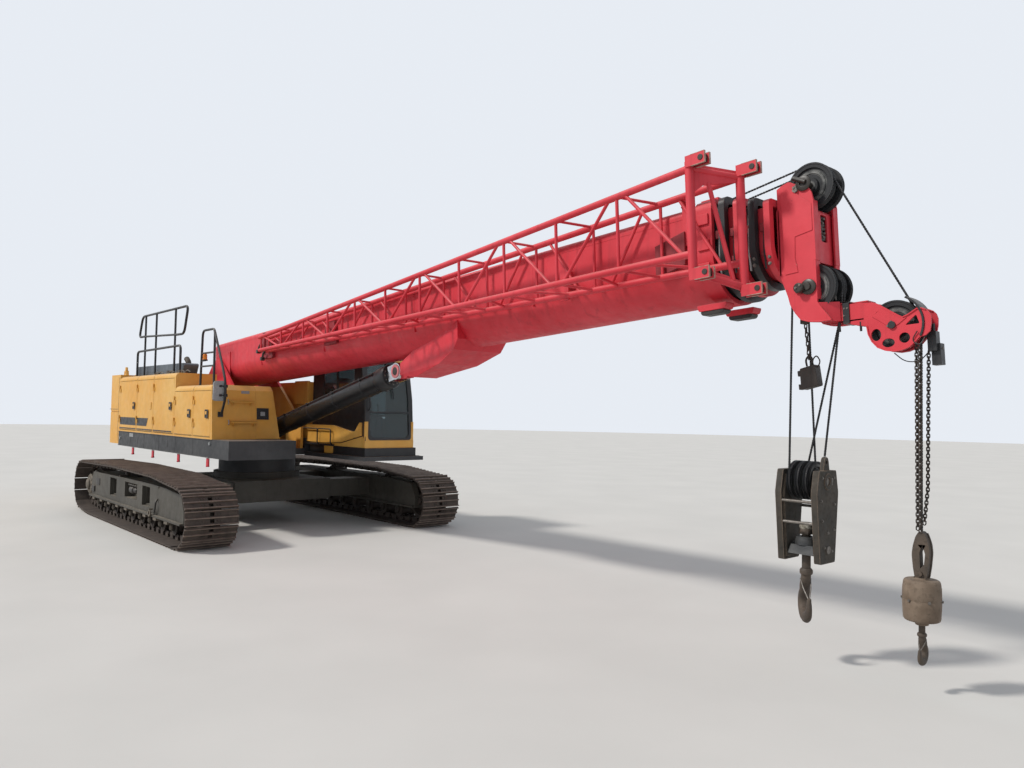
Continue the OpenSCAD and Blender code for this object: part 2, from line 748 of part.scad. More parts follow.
module roof_rails() {
    y = -deck_half_w + 244;
    post_r = rail_r - 4;
    // Top rails of the lower and of the upper loop, above the roof
    mid_z = tall_top + 570;
    top_z = tall_top + 1335;
    color(black) {
        rail_loop([[-deck_rear + 364, y, tall_top], [-deck_rear + 364, y, mid_z],
                   [-step_x - 530, y, mid_z], [-step_x - 530, y, tall_top]]);
        for (x = [-deck_rear + 884, -deck_rear + 1614, -step_x - 880])
            bar([x, y, tall_top], [x, y, top_z], post_r);
        rail_loop([[-deck_rear + 884, y, mid_z + 320], [-deck_rear + 444, y, mid_z + 320],
                   [-deck_rear + 654, y, top_z + 15], [-step_x - 160, y, top_z - 5],
                   [-step_x - 360, y, mid_z + 220], [-step_x - 880, y, mid_z + 230]]);
        bar([-deck_rear + 884, y, mid_z + 320], [-step_x - 880, y, mid_z + 230], rail_r - 2);
    }
}

module front_rails() {
    y = -deck_half_w + 144;
    x = house_front;
    color(black) {
        foot_z = low_top + 4;
        for (dx = [-1000, -340])
            block([x + dx - 35, y - 30, low_top + seat_gap], [x + dx + 35, y + 30, low_top + 9]);
        rail_loop([[x - 1000, y, foot_z], [x - 950, y, low_top + 1010], [x - 360, y, low_top + 1010],
                   [x - 340, y, foot_z]]);
        for (z = [350, 590]) bar([x - 976, y, low_top + z], [x - 350, y, low_top + z], rail_r - 4);
        // Front leg, bent over the house's front, which carries the mirror
        rail_loop([[x - 360, y, low_top + 950], [x + 20, y, low_top + 360], [x + 190, y, low_top + 60],
                   [x + 220, y, low_top - 230], [x + 55, y, low_top - 520]]);
    }
}

module mirror() {
    x = house_front + 150;
    y = -deck_half_w + 144;
    color(black) {
        for (z = [-30, -190]) bar([x + 20, y - 70, low_top + z], [x + 48, y - 32, low_top + z], 10);
        block([x, y - 205, low_top - 290], [x + 36, y - 50, low_top + 50]);
    }
}

// Boom

module boom_frame() {
    translate(foot) rotate([0, -boom_angle, 0]) children();
}

// Cross-section of a boom tube: flat top with round corners, round bottom
module boom_outline(w, h, corner) {
    r = w / 2;
    translate([0, r - h / 2]) circle(r = r);
    translate([-r, r - h / 2]) square([w, h - r - corner]);
    translate([-r + corner, h / 2 - corner - eps]) square([w - 2 * corner, corner + eps]);
    for (s = [-1, 1]) translate([s * (r - corner), h / 2 - corner]) circle(r = corner);
}

module boom_solid(w, h, x0, x1, corner) {
    translate([x0, 0, base_mid]) rotate([90, 0, 90])
        linear_extrude(x1 - x0) boom_outline(w, h, corner);
}

module boom_tube(w, h, x0, x1, wall, corner) {
    translate([x0, 0, base_mid]) rotate([90, 0, 90])
        linear_extrude(x1 - x0) difference() {
            boom_outline(w, h, corner);
            boom_outline(w - 2 * wall, h - 2 * wall, max(8, corner - wall));
        }
}

module boom_base() {
    color(boom_red) boom_frame() {
        boom_tube(boom_w, boom_h, -base_tail, base_len, boom_wall, boom_corner);
        boom_tube(boom_w + 60, boom_h + 60, base_len - 180, base_len, 30 + boom_wall, boom_corner + 30);
        for (s = [-1, 1])
            cross_disc(0, s * (boom_w / 2 + (tower_out - boom_w / 2 - 4) / 2), 0, foot_pin_r, tower_out - boom_w / 2 + 4);
    }
}

// Wedge under the boom, with the lug between the fork arms of the lift cylinder's eye
module boom_bracket() {
    // Stations of the wedge: ahead of the eye, half width, top and bottom below the foot pin's line
    stations = [
        [210, 165, -450, -78], [620, 190, -300, -143], [1000, 240, -200, -88],
        [1390, 330, -60, -28], [1820, boom_w / 2 - 20, -60, 117], [1920, boom_w / 2 - 5, -60, 247]
    ];
    color(boom_red) boom_frame() {
        difference() {
            union() {
                hull() for (p = stations)
                    block([eye_x + p[0] - 2, -p[1], p[3] - eye_drop], [eye_x + p[0] + 2, p[1], p[2]]);
                block([eye_x + 210, -fork_in + 4, -eye_drop - 75], [eye_x + 360, fork_in - 4, -eye_drop + 150]);
            }
            boom_solid(boom_w + 2 * seat_gap, boom_h + 2 * seat_gap, eye_x - 900, eye_x + 3000, boom_corner);
        }
        difference() {
            union() {
                block([eye_x, -fork_in + 4, -eye_drop - 110], [eye_x + 240, fork_in - 4, -eye_drop + 110]);
                cross_disc(eye_x, 0, -eye_drop, 110, 2 * fork_in - 8);
            }
            cross_disc(eye_x, 0, -eye_drop, 60, 300);
        }
    }
}

module section(k) {
    corner = boom_corner - k * 10;
    color(k % 2 == 0 ? boom_red : charcoal) boom_frame() {
        boom_tube(section_w(k), section_h(k), section_rear(k), section_end(k), boom_wall, corner);
        // Collar at the front end
        difference() {
            boom_tube(section_w(k) + 2 * section_step + 40, section_h(k) + 2 * section_step + 40,
                      section_end(k) - 60, section_end(k), section_step + 20 + boom_wall, corner + 20);
        }
        // Slide pads under the front of the section around it and over its own tail
        pad_w = section_w(k) - 2 * corner - 60;
        block([section_rear(k) + 40, -pad_w / 2, base_mid + section_h(k) / 2],
              [section_rear(k) + 340, pad_w / 2, base_mid + section_h(k) / 2 + section_gap - 0.3]);
    }
}

// Outline of a head plate: ahead of the head's start, above the foot pin
head_side = [
    [13, 528], [120, 570], [170, 547], [304, 482], [348, 358], [340, -455], [340, -526],
    [460, -700], [337, -703], [181, -665], [90, -520], [74, -447], [8, -251]
];
head_points = [for (p = head_side) [head_start + p[0], p[1]]];
arm_side = [
    [300, -526], [733, -579], [796, -610], [968, -730], [1081, -676], [1150, -695], [1183, -759],
    [1167, -871], [1090, -909], [1010, -980], [885, -1004], [760, -960], [679, -771], [300, -700]
];
arm_holes = [[790, -697, 38], [754, -853, 46], [845, -925, 42], [975, -900, 42]];
arm_points = [for (p = arm_side) [head_start + p[0], p[1]]];

module boom_head() {
    color(boom_red) boom_frame() {
        for (s = [-1, 1]) side_plate(head_points, s * (head_w / 2 - head_plate / 2), head_plate);
        block([head_start, -head_w / 2, -250], [head_start + 25, head_w / 2, 340]);
        // Front plate with a window
        difference() {
            block([head_start + 296, -head_w / 2 + 1, -165], [head_start + 314, head_w / 2 - 1, 300]);
            block([head_start + 290, -60, 60], [head_start + 320, 95, 270]);
        }
        cross_disc(sheave_x, 0, sheave_z, sheave_bore_r - seat_gap, head_w - 2);
        cross_disc(low_sheave_x, 0, low_sheave_z, sheave_bore_r - seat_gap, head_w - 2);
    }
}

module sheave(x, z, r, w = 60) {
    difference() {
        translate([x, w / 2, z]) rotate([90, 0, 0])
            rotate_extrude() polygon([
                [sheave_bore_r, 0], [r, 0], [r, 8], [r - groove_d, w / 2 - 10],
                [r - groove_d, w / 2 + 10], [r, w - 8], [r, w], [sheave_bore_r, w]]);
    }
}

module head_sheaves() {
    color("dimgray") boom_frame() {
        for (y = [-80, 80]) translate([0, y, 0]) sheave(sheave_x, sheave_z, sheave_r);
        for (y = [-140, 0, 140]) translate([0, y, 0]) sheave(low_sheave_x, low_sheave_z, sheave_r);
        sheave(aux_x, aux_z, sheave_r);
    }
}

module aux_arm() {
    color(boom_red) boom_frame() {
        for (s = [-1, 1]) difference() {
            side_plate(arm_points, s * 70, 14);
            for (h = arm_holes) cross_disc(head_start + h[0], s * 70, h[1], h[2], 40);
            side_plate([[head_start + 985, -800], [head_start + 1095, -800], [head_start + 1072, -725]], s * 70, 40);
        }
        cross_disc(aux_x, 0, aux_z, sheave_bore_r - seat_gap, 150);
        // Gussets from the arm's plates to the head's plates, clear of the falls
        for (s = [-1, 1])
            block([head_start + 300, s * 70, -695],
                  [head_start + 320, s * (head_w / 2 - head_plate - seat_gap), low_sheave_z - sheave_r - 12]);
    }
}

// Stowed lattice jib on the boom's right side
// Corners of the jib at its tip and at its foot: along, across, up
jib_tip = [[2400, -650, 345], [2400, -500, 345], [2400, -650, 110], [2400, -500, 110]];
jib_foot = [[11830, -880, 705], [12085, -485, 640], [11830, -880, -60], [12085, -485, -130]];
jib_bays = 11;
jib_chord_r = 34;
brace_sink = 20;

function jib_at(c, t) = jib_tip[c] + t * (jib_foot[c] - jib_tip[c]);

// A brace between two chords that ends inside each of them, short of its axis
module brace(a, b, r) {
    u = (b - a) / norm(b - a);
    bar(a + brace_sink * u, b - brace_sink * u, r, 110);
}

module jib() {
    // Faces of the lattice: a pair of chords, radius of the braces, their setback from a bay's end
    faces = [[0, 2, 17, 0.010], [1, 3, 16, 0.022], [2, 3, 15, 0.034], [0, 1, 14, 0]];
    color(boom_red) boom_frame() {
        for (c = [0:3]) bar(jib_at(c, -0.006), jib_at(c, 1), jib_chord_r, 45);
        for (i = [0:jib_bays - 1], f = faces)
            brace(jib_at(f[0], i / jib_bays), jib_at(f[1], i / jib_bays), f[2]);
        for (k = [0:2], i = [(k == 2 ? 4 : 0):jib_bays - 1]) {
            f = faces[k];
            up = i % 2;
            brace(jib_at(f[up], i / jib_bays + f[3]), jib_at(f[1 - up], (i + 1) / jib_bays - f[3]), f[2]);
        }
        // End frame: two posts, two cross bars and the clevises at its corners
        posts = [[jib_foot[0], 765, -260], [jib_foot[1], 700, -395]];
        for (p = posts) bar([p[0][0], p[0][1], p[2]], [p[0][0], p[0][1], p[1]], 40);
        brace([posts[0][0][0], posts[0][0][1], -215], [posts[1][0][0], posts[1][0][1], -345], 28);
        brace([posts[0][0][0], posts[0][0][1], 705], [posts[1][0][0], posts[1][0][1], 640], 27);
        for (p = posts, e = [1, 2], s = [-1, 1])
            block([p[0][0] - 10, p[0][1] + s * 38 - 10, p[e] - (e == 1 ? 60 : 40)],
                  [p[0][0] + 190, p[0][1] + s * 38 + 10, p[e] + (e == 1 ? 40 : 60)]);
        // Lugs that hold the jib on the boom's side
        for (t = [0.135, 0.773]) {
            p = jib_at(3, t);
            block([p[0] - 60, p[1] - 12, p[2] + (t < 0.5 ? 0 : -50)], [p[0] + 60, p[1] + 14, 185]);
            block([p[0] - 60, p[1] - 12, 95], [p[0] + 60, -boom_w / 2, 185]);
        }
    }
}

// Lift cylinder

module along_lift() {
    translate(lift_foot) rotate([0, -lift_tilt, 0]) children();
}

module lift_barrel() {
    color(black) along_lift() {
        difference() {
            rotate([0, 90, 0]) translate([0, 0, 130]) cylinder(h = gland_len - 130, r = barrel_r);
            rotate([0, 90, 0]) translate([0, 0, 220]) cylinder(h = gland_len, r = rod_r + 0.05);
        }
        difference() {
            cross_disc(0, 0, 0, 160, 240);
            cross_disc(0, 0, 0, lift_pin_r + 0.05, 260);
        }
    }
}

module lift_rod() {
    color("silver") along_lift() {
        rotate([0, 90, 0]) translate([0, 0, 260]) cylinder(h = lift_len - 260 - 150, r = rod_r);
        block([lift_len - 200, -fork_out, -rod_r], [lift_len - 150, fork_out, rod_r]);
        for (s = [-1, 1]) difference() {
            union() {
                cross_disc(lift_len, s * (fork_in + fork_out) / 2, 0, 125, fork_out - fork_in);
                block([lift_len - 160, s * fork_in, -rod_r], [lift_len, s * fork_out, rod_r]);
            }
            cross_disc(lift_len, s * (fork_in + fork_out) / 2, 0, 60, 100);
        }
    }
}

// Ropes, blocks and hooks

// A rope that leaves its sheave straight down before it leans to the next one
module fall(a, b) {
    lead = 110;
    rail_loop([a, a - [0, 0, lead], b + [0, 0, lead], b], rope_d / 2);
}

module main_ropes() {
    top = main_pin[2];
    axle_z = main_block_z;
    color(charcoal) {
        fall([main_pin[0] - rope_out, -140, top], [main_rope_x - 75, -block_rope_out, axle_z]);
        fall([main_pin[0] + rope_out, 0, top], [main_rope_x, block_rope_out, axle_z]);
        rail_loop([[main_pin[0] - rope_out, 140, top], [main_pin[0] - rope_out, 140, top - 110],
                   [main_rope_x + cheek_x, 0, axle_z + 202.5]], rope_d / 2);
    }
}

module main_block() {
    z = main_block_z;
    cheek_side = [[-150, z + 95], [150, z + 95], [190, z - 100], [130, z - 700], [-130, z - 700], [-190, z - 100]];
    color("#4d4034") translate([main_rope_x, 0, 0]) {
        for (s = [-1, 1])
            translate([s * cheek_x, 0, 0]) rotate([0, 0, 90]) side_plate(cheek_side, 0, 60);
        translate([0, 0, z]) rotate([0, 90, 0]) cylinder(h = 280, r = 40, center = true);
        for (x = [-75, 0, 75])
            translate([x, 0, z]) rotate([0, 90, 0]) cylinder(h = 62, r = block_sheave_r, center = true);
        for (p = [[-165, z - 110], [-140, z - 300], [150, z - 200]])
            translate([0, p[0], p[1]]) rotate([0, 90, 0]) cylinder(h = 280, r = 14, center = true);
        // Trunnion with the hook's nut on it
        difference() {
            translate([0, 0, z - 640]) cylinder(h = 190, r1 = 100, r2 = 75);
            translate([0, 0, z - 641]) cylinder(h = 192, r = hook_shank_r + seat_gap);
        }
        translate([0, 0, z - 590]) for (s = [-1, 1])
            translate([s * 110, 0, 0]) rotate([0, 90, 0]) cylinder(h = 70, r = 45, center = true);
        // Lug for the rope's end
        translate([cheek_x, 0, 0]) rotate([0, 0, 90]) difference() {
            side_plate([[-50, z + 95], [50, z + 95], [35, z + 200], [-35, z + 200]], 0, 40);
            cross_disc(0, 0, z + 165, 18, 60);
        }
    }
}

// A round hook: shank down to the bowl, the bowl, and the tip, round the bowl's centre
module hook_shape(bowl, thick, shank_r, shank_top) {
    back = 55;
    rotate([90, 0, 0]) rotate([0, 0, back - 260]) rotate_extrude(angle = 260)
        translate([bowl, 0]) circle(r = thick);
    bar([bowl * cos(back), 0, bowl * sin(back)], [0, 0, bowl * 1.9], thick + 1);
    translate([bowl * cos(back), 0, bowl * sin(back)]) sphere(r = thick + 2);
    translate([bowl * cos(back - 260), 0, bowl * sin(back - 260)]) sphere(r = thick + 2);
    translate([0, 0, bowl * 1.75]) cylinder(h = bowl * 0.5, r = thick * 1.25);
    translate([0, 0, bowl * 2.1]) cylinder(h = shank_top - bowl * 2.1, r = shank_r);
}

module main_hook() {
    color("#5b4436") translate([main_rope_x, 0, main_hook_z])
        rotate([0, 0, 130]) {
            hook_shape(main_bowl, 45, hook_shank_r, main_block_z - 430 - main_hook_z);
            // Nut over the trunnion
            translate([0, 0, main_block_z - 450 + seat_gap - main_hook_z]) cylinder(h = 50, r = 60);
        }
}

module aux_line() {
    color(charcoal) bar([aux_rope_x, 0, aux_pin[2]], [aux_rope_x, 0, aux_weight_top + seat_gap], rope_d / 2);
}

module aux_weight() {
    h = 320;
    color("#5b4436") translate([aux_rope_x, 0, 0]) {
        translate([0, 0, aux_weight_z]) difference() {
            union() {
                cylinder(h = 25, r1 = 120, r2 = 140);
                translate([0, 0, 25]) cylinder(h = h - 50, r = 140);
                translate([0, 0, h - 25]) cylinder(h = 25, r1 = 140, r2 = 120);
            }
            translate([0, 0, -eps]) cylinder(h = 90, r = 34);
        }
        // Wedge socket on the rope's end
        side_plate([[-45, aux_weight_z + h], [45, aux_weight_z + h], [65, aux_weight_z + h + 210],
                    [40, aux_weight_top], [-40, aux_weight_top], [-65, aux_weight_z + h + 210]], 0, 70);
    }
}

module aux_hook() {
    color("#5b4436") translate([aux_rope_x, 0, aux_hook_z])
        rotate([0, 0, 95]) hook_shape(aux_bowl, 29, 33.7, aux_weight_z + 60 - aux_hook_z);
}

carbody();
slew_ring();
side_frame(-1);  // side_frame_right
side_frame(1);  // side_frame_left
track(-1);  // track_right
track(1);  // track_left
running_wheels(-1);  // wheels_right
running_wheels(1);  // wheels_left
deck();
counterweight();
engine();
house_shell();
house_door(tall_doors[0], tall_door_top);  // tall_door_1
house_door(tall_doors[1], tall_door_top);  // tall_door_2
house_door(tall_doors[2], tall_door_top);  // tall_door_3
house_door(low_doors[0], low_door_top);  // low_door_1
house_door(low_doors[1], low_door_top);  // low_door_2
left_housing();
cab_shell();
cab_door();
cab_glass();
cab_seat();
boom_tower();
winches();
roof_rails();
front_rails();
mirror();
lift_barrel();
lift_rod();
boom_base();
boom_bracket();
jib();
section(1);  // section_2
section(2);  // section_3
section(3);  // section_4
section(4);  // section_5
boom_head();
head_sheaves();
aux_arm();
main_ropes();
main_block();
main_hook();
aux_line();
aux_weight();
aux_hook();
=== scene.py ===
# %% [markdown]
# A crawler crane with a telescopic boom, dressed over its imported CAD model.
# The CAD part gives every size and every joint. This script adds what a camera sees: the real
# track shoes, sheaves, ropes, lattice, doors and latches, and the paint, rust and grease on them.
# Everything is in metres, with +X along the boom, +Y to the machine's left and +Z up.

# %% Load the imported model
import math

import bmesh
import bpy
from mathutils import Matrix, Vector


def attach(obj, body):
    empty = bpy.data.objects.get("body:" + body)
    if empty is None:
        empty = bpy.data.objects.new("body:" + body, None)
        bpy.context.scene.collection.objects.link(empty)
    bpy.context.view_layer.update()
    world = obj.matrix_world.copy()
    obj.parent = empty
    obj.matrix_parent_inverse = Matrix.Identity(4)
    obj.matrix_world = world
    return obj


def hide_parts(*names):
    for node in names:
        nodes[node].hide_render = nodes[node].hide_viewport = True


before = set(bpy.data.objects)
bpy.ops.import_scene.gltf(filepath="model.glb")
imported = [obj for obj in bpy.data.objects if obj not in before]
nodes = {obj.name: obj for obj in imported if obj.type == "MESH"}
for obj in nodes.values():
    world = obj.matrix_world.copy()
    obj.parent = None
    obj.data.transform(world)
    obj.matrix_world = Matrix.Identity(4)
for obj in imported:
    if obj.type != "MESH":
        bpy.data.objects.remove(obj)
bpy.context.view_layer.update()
print("CAD nodes:", len(nodes))

# %% [markdown]
# The camera stands where the photographer stood, low and close to the hooks, so the boom head
# looms and the tracks shrink away. Its place and lens come from a fit of known sizes.

# %% Camera
CAMERA_PLACE = Vector((14.959, -6.53, 2.12))
CAMERA_YAW = math.radians(138.523)
CAMERA_PITCH = math.radians(2.24)
CAMERA_ROLL = math.radians(1.044)
CAMERA_LENS = 27.47


def into_scene(thing):
    bpy.context.scene.collection.objects.link(thing)


def camera_matrix(place, yaw, pitch, roll):
    forward = Vector((math.cos(yaw) * math.cos(pitch), math.sin(yaw) * math.cos(pitch), math.sin(pitch)))
    level = Vector((math.sin(yaw), -math.cos(yaw), 0))
    upright = level.cross(forward)
    right = level * math.cos(roll) + upright * math.sin(roll)
    up = upright * math.cos(roll) - level * math.sin(roll)
    turned = Matrix((right, up, -forward)).transposed().to_4x4()
    return Matrix.Translation(place) @ turned


camera_data = bpy.data.cameras.new("photo_camera")
camera = bpy.data.objects.new("photo_camera", camera_data)
into_scene(camera)
camera.matrix_world = camera_matrix(CAMERA_PLACE, CAMERA_YAW, CAMERA_PITCH, CAMERA_ROLL)
camera_data.lens = CAMERA_LENS
camera_data.clip_end = 500
bpy.context.scene.camera = camera
bpy.context.scene.view_settings.view_transform = "Standard"
print("camera at", tuple(round(v, 2) for v in CAMERA_PLACE))

# %% [markdown]
# The stage is a pale floor and a pale surround, with one soft key lamp high on the right side
# of the machine, where the sun stood, and a gentle fill from the world.

# %% Helpers for shader nodes


def new_material(name):
    material = bpy.data.materials.new(name)
    material.use_nodes = True
    tree = material.node_tree
    return material, tree, tree.nodes["Principled BSDF"]


def add_node(tree, kind, **values):
    node = tree.nodes.new(kind)
    for key, value in values.items():
        if key in node.inputs:
            node.inputs[key].default_value = value
        else:
            setattr(node, key, value)
    return node


def link(tree, source, target):
    tree.links.new(source, target)


print("shader helpers ready")

# %% [markdown]
# A floor that is a little darker than white keeps the shadow. The surround is seen by the camera,
# by glossy and by clear surfaces as a pale sky, but lights the machine less brightly than it looks.

# %% Floor, surround and lamps
FLOOR_COLOUR = (0.62, 0.6, 0.57, 1)
SURROUND_COLOUR = (0.8, 0.84, 0.9, 1)


def make_floor():
    bm = bmesh.new()
    bmesh.ops.create_circle(bm, cap_ends=True, radius=90, segments=96)
    mesh = bpy.data.meshes.new("floor")
    bm.to_mesh(mesh)
    floor = bpy.data.objects.new("floor", mesh)
    into_scene(floor)
    material, tree, shader = new_material("pale_floor")
    place = add_node(tree, "ShaderNodeTexCoord")
    grain = add_node(tree, "ShaderNodeTexNoise", Scale=0.6, Detail=8.0)
    link(tree, place.outputs["Object"], grain.inputs["Vector"])
    tone = add_node(tree, "ShaderNodeMix", data_type="RGBA")
    tone.inputs[6].default_value = FLOOR_COLOUR
    tone.inputs[7].default_value = (0.52, 0.505, 0.48, 1)
    link(tree, grain.outputs["Fac"], tone.inputs[0])
    link(tree, tone.outputs[2], shader.inputs["Base Color"])
    shader.inputs["Roughness"].default_value = 0.9
    mesh.materials.append(material)


def make_world():
    world = bpy.data.worlds.new("surround")
    bpy.context.scene.world = world
    world.use_nodes = True
    tree = world.node_tree
    tree.nodes.clear()
    out = tree.nodes.new("ShaderNodeOutputWorld")
    light = add_node(tree, "ShaderNodeBackground", Strength=0.62)
    light.inputs["Color"].default_value = (0.86, 0.92, 1.0, 1)
    seen = add_node(tree, "ShaderNodeBackground", Strength=1.0)
    seen.inputs["Color"].default_value = SURROUND_COLOUR
    path = tree.nodes.new("ShaderNodeLightPath")
    either = add_node(tree, "ShaderNodeMath", operation="MAXIMUM")
    either2 = add_node(tree, "ShaderNodeMath", operation="MAXIMUM")
    link(tree, path.outputs["Is Camera Ray"], either.inputs[0])
    link(tree, path.outputs["Is Glossy Ray"], either.inputs[1])
    link(tree, either.outputs[0], either2.inputs[0])
    link(tree, path.outputs["Is Transmission Ray"], either2.inputs[1])
    mix = tree.nodes.new("ShaderNodeMixShader")
    link(tree, either2.outputs[0], mix.inputs["Fac"])
    link(tree, light.outputs[0], mix.inputs[1])
    link(tree, seen.outputs[0], mix.inputs[2])
    link(tree, mix.outputs[0], out.inputs["Surface"])


def make_key_lamp():
    data = bpy.data.lights.new("key_lamp", "SUN")
    data.energy = 2.6
    data.angle = 0.12
    data.color = (1.0, 0.97, 0.92)
    lamp = bpy.data.objects.new("key_lamp", data)
    into_scene(lamp)
    towards = Vector((0.36, 0.62, -0.7))
    lamp.rotation_mode = "QUATERNION"
    lamp.rotation_quaternion = towards.to_track_quat("-Z", "Y")


make_floor()
make_world()
make_key_lamp()
print("stage lit")

# %% [markdown]
# Most finishes here are old paint: the colour fades in broad clouds, dust settles on what faces
# up, rain draws dark streaks down the sides, and chips show along the edges. One function makes
# them all, so that only the colours and the amounts differ. The patterns read Object
# coordinates, because every mesh here lies in the machine's own frame.

# %% Patterns that paint is mixed from
DUST = (0.36, 0.31, 0.25, 1)


def cloud(tree, place, size, detail=4.0, stretch=None, rough=0.55):
    """A noise pattern whose blotches are about size metres across."""
    spread = add_node(tree, "ShaderNodeMapping")
    spread.inputs["Scale"].default_value = stretch or (1, 1, 1)
    noise = add_node(tree, "ShaderNodeTexNoise", Scale=1.0 / size, Detail=detail, Roughness=rough)
    link(tree, place, spread.inputs["Vector"])
    link(tree, spread.outputs[0], noise.inputs["Vector"])
    return noise.outputs["Fac"]


def object_place(tree):
    return add_node(tree, "ShaderNodeTexCoord").outputs["Object"]


def darker(colour, share):
    return tuple(v * share for v in colour[:3]) + (1,)


def ramp(tree, source, low, high, to_low=0.0, to_high=1.0):
    """Maps a value from low..high to to_low..to_high, held at both ends."""
    node = add_node(tree, "ShaderNodeMapRange", clamp=True)
    node.inputs["From Min"].default_value = low
    node.inputs["From Max"].default_value = high
    node.inputs["To Min"].default_value = to_low
    node.inputs["To Max"].default_value = to_high
    link(tree, source, node.inputs["Value"])
    return node.outputs["Result"]


def blotches(tree, place, size, detail, low, high, to_low=0.0, to_high=1.0):
    """Noise whose values from low to high are spread over to_low to to_high."""
    return ramp(tree, cloud(tree, place, size, detail), low, high, to_low, to_high)


def times(tree, a, b):
    node = add_node(tree, "ShaderNodeMath", operation="MULTIPLY")
    for i, value in enumerate((a, b)):
        if isinstance(value, (int, float)):
            node.inputs[i].default_value = value
        else:
            link(tree, value, node.inputs[i])
    return node.outputs[0]


def blend_colour(tree, amount, first, second):
    node = add_node(tree, "ShaderNodeMix", data_type="RGBA")
    link(tree, amount, node.inputs[0])
    for i, colour in ((6, first), (7, second)):
        if isinstance(colour, tuple):
            node.inputs[i].default_value = colour
        else:
            link(tree, colour, node.inputs[i])
    return node.outputs[2]


def facing_up(tree):
    normal = add_node(tree, "ShaderNodeNewGeometry")
    parts = add_node(tree, "ShaderNodeSeparateXYZ")
    link(tree, normal.outputs["Normal"], parts.inputs[0])
    return parts.outputs["Z"]


def edge_mask(tree, width):
    """1 along outer edges, from how far a bevelled normal turns from the real one."""
    soft = add_node(tree, "ShaderNodeBevel", samples=4, Radius=width)
    hard = add_node(tree, "ShaderNodeNewGeometry")
    dot = add_node(tree, "ShaderNodeVectorMath", operation="DOT_PRODUCT")
    link(tree, soft.outputs[0], dot.inputs[0])
    link(tree, hard.outputs["Normal"], dot.inputs[1])
    return ramp(tree, dot.outputs["Value"], 0.97, 0.8)


def add_bump(tree, shader, place, strength, height, size, detail):
    """Fine relief, height metres deep, from blotches of about size metres."""
    bump = add_node(tree, "ShaderNodeBump", Strength=strength, Distance=height)
    link(tree, cloud(tree, place, size, detail), bump.inputs["Height"])
    link(tree, bump.outputs[0], shader.inputs["Normal"])


print("patterns ready")

# %% Old paint


def old_paint(name, colour, faded, under, dust=0.35, streaks=0.3, chips=0.5, edge=0.006, rough=0.42,
        metal=0.0):
    material, tree, shader = new_material(name)
    place = object_place(tree)
    fade = blotches(tree, place, 1.3, 4.0, 0.35, 0.68)
    tone = blend_colour(tree, fade, colour, faded)
    mottle = blotches(tree, place, 0.16, 6.0, 0.3, 0.75, 0.0, 0.3)
    tone = blend_colour(tree, mottle, tone, darker(colour, 0.62))
    runs = ramp(tree, cloud(tree, place, 0.09, 3.0, (1, 1, 0.07)), 0.56, 0.74, 0.0, streaks)
    tone = blend_colour(tree, runs, tone, darker(colour, 0.35))
    settle = times(tree, ramp(tree, facing_up(tree), 0.25, 0.95),
        blotches(tree, place, 0.35, 6.0, 0.28, 0.62, 0.15, 1.0))
    tone = blend_colour(tree, times(tree, settle, dust), tone, DUST)
    worn = times(tree, blotches(tree, place, 0.035, 5.0, 0.5, 0.6),
        ramp(tree, edge_mask(tree, edge), 0.1, 0.7, 0.0, chips))
    spots = ramp(tree, cloud(tree, place, 0.022, 3.0, None, 0.4), 0.76, 0.8, 0.0, chips)
    tone = blend_colour(tree, worn, tone, under)
    tone = blend_colour(tree, spots, tone, under)
    link(tree, tone, shader.inputs["Base Color"])
    link(tree, blotches(tree, place, 0.11, 5.0, 0.3, 0.7, rough, rough + 0.22), shader.inputs["Roughness"])
    shader.inputs["Metallic"].default_value = metal
    add_bump(tree, shader, place, 0.12, 0.004, 0.02, 5.0)
    return material


BARE_STEEL = (0.1, 0.075, 0.06, 1)
RED, FADED_RED = (0.6, 0.018, 0.034, 1), (0.7, 0.05, 0.07, 1)
AMBER, FADED_AMBER = (0.72, 0.355, 0.055, 1), (0.76, 0.45, 0.12, 1)
paint_red = old_paint("paint_red", RED, FADED_RED, (0.16, 0.012, 0.018, 1), dust=0.3, streaks=0.3)
paint_amber = old_paint("paint_amber", AMBER, FADED_AMBER, BARE_STEEL, dust=0.4, streaks=0.1)
paint_charcoal = old_paint("paint_charcoal", (0.03, 0.031, 0.034, 1), (0.062, 0.063, 0.065, 1),
    (0.12, 0.09, 0.07, 1), dust=0.5, streaks=0.2, rough=0.5)
paint_olive = old_paint("paint_olive", (0.052, 0.047, 0.038, 1), (0.082, 0.074, 0.06, 1),
    (0.13, 0.08, 0.05, 1), dust=0.45, streaks=0.5, rough=0.55)
paint_black = old_paint("paint_black", (0.01, 0.01, 0.011, 1), (0.02, 0.02, 0.022, 1),
    (0.06, 0.05, 0.045, 1), dust=0.35, streaks=0.2, rough=0.35)

# The barrel's black is darker than the other black paint. That is painted shade, which keeps the barrel
# near-black under the pale fill light.
cylinder_black_painted_shade = old_paint("cylinder_black_painted_shade", (0.0045, 0.0045, 0.005, 1), (0.009, 0.009, 0.01, 1),
    (0.05, 0.04, 0.035, 1), dust=0.12, streaks=0.1, rough=0.25)

print("paints mixed")

# %% [markdown]
# What isn't painted is rusty, greasy or polished. These finishes share one recipe as well: two
# tones in blotches, a darker grain, an uneven roughness and a fine relief. Glass lets light
# through and carries a film of dust.

# %% Bare and greasy metals


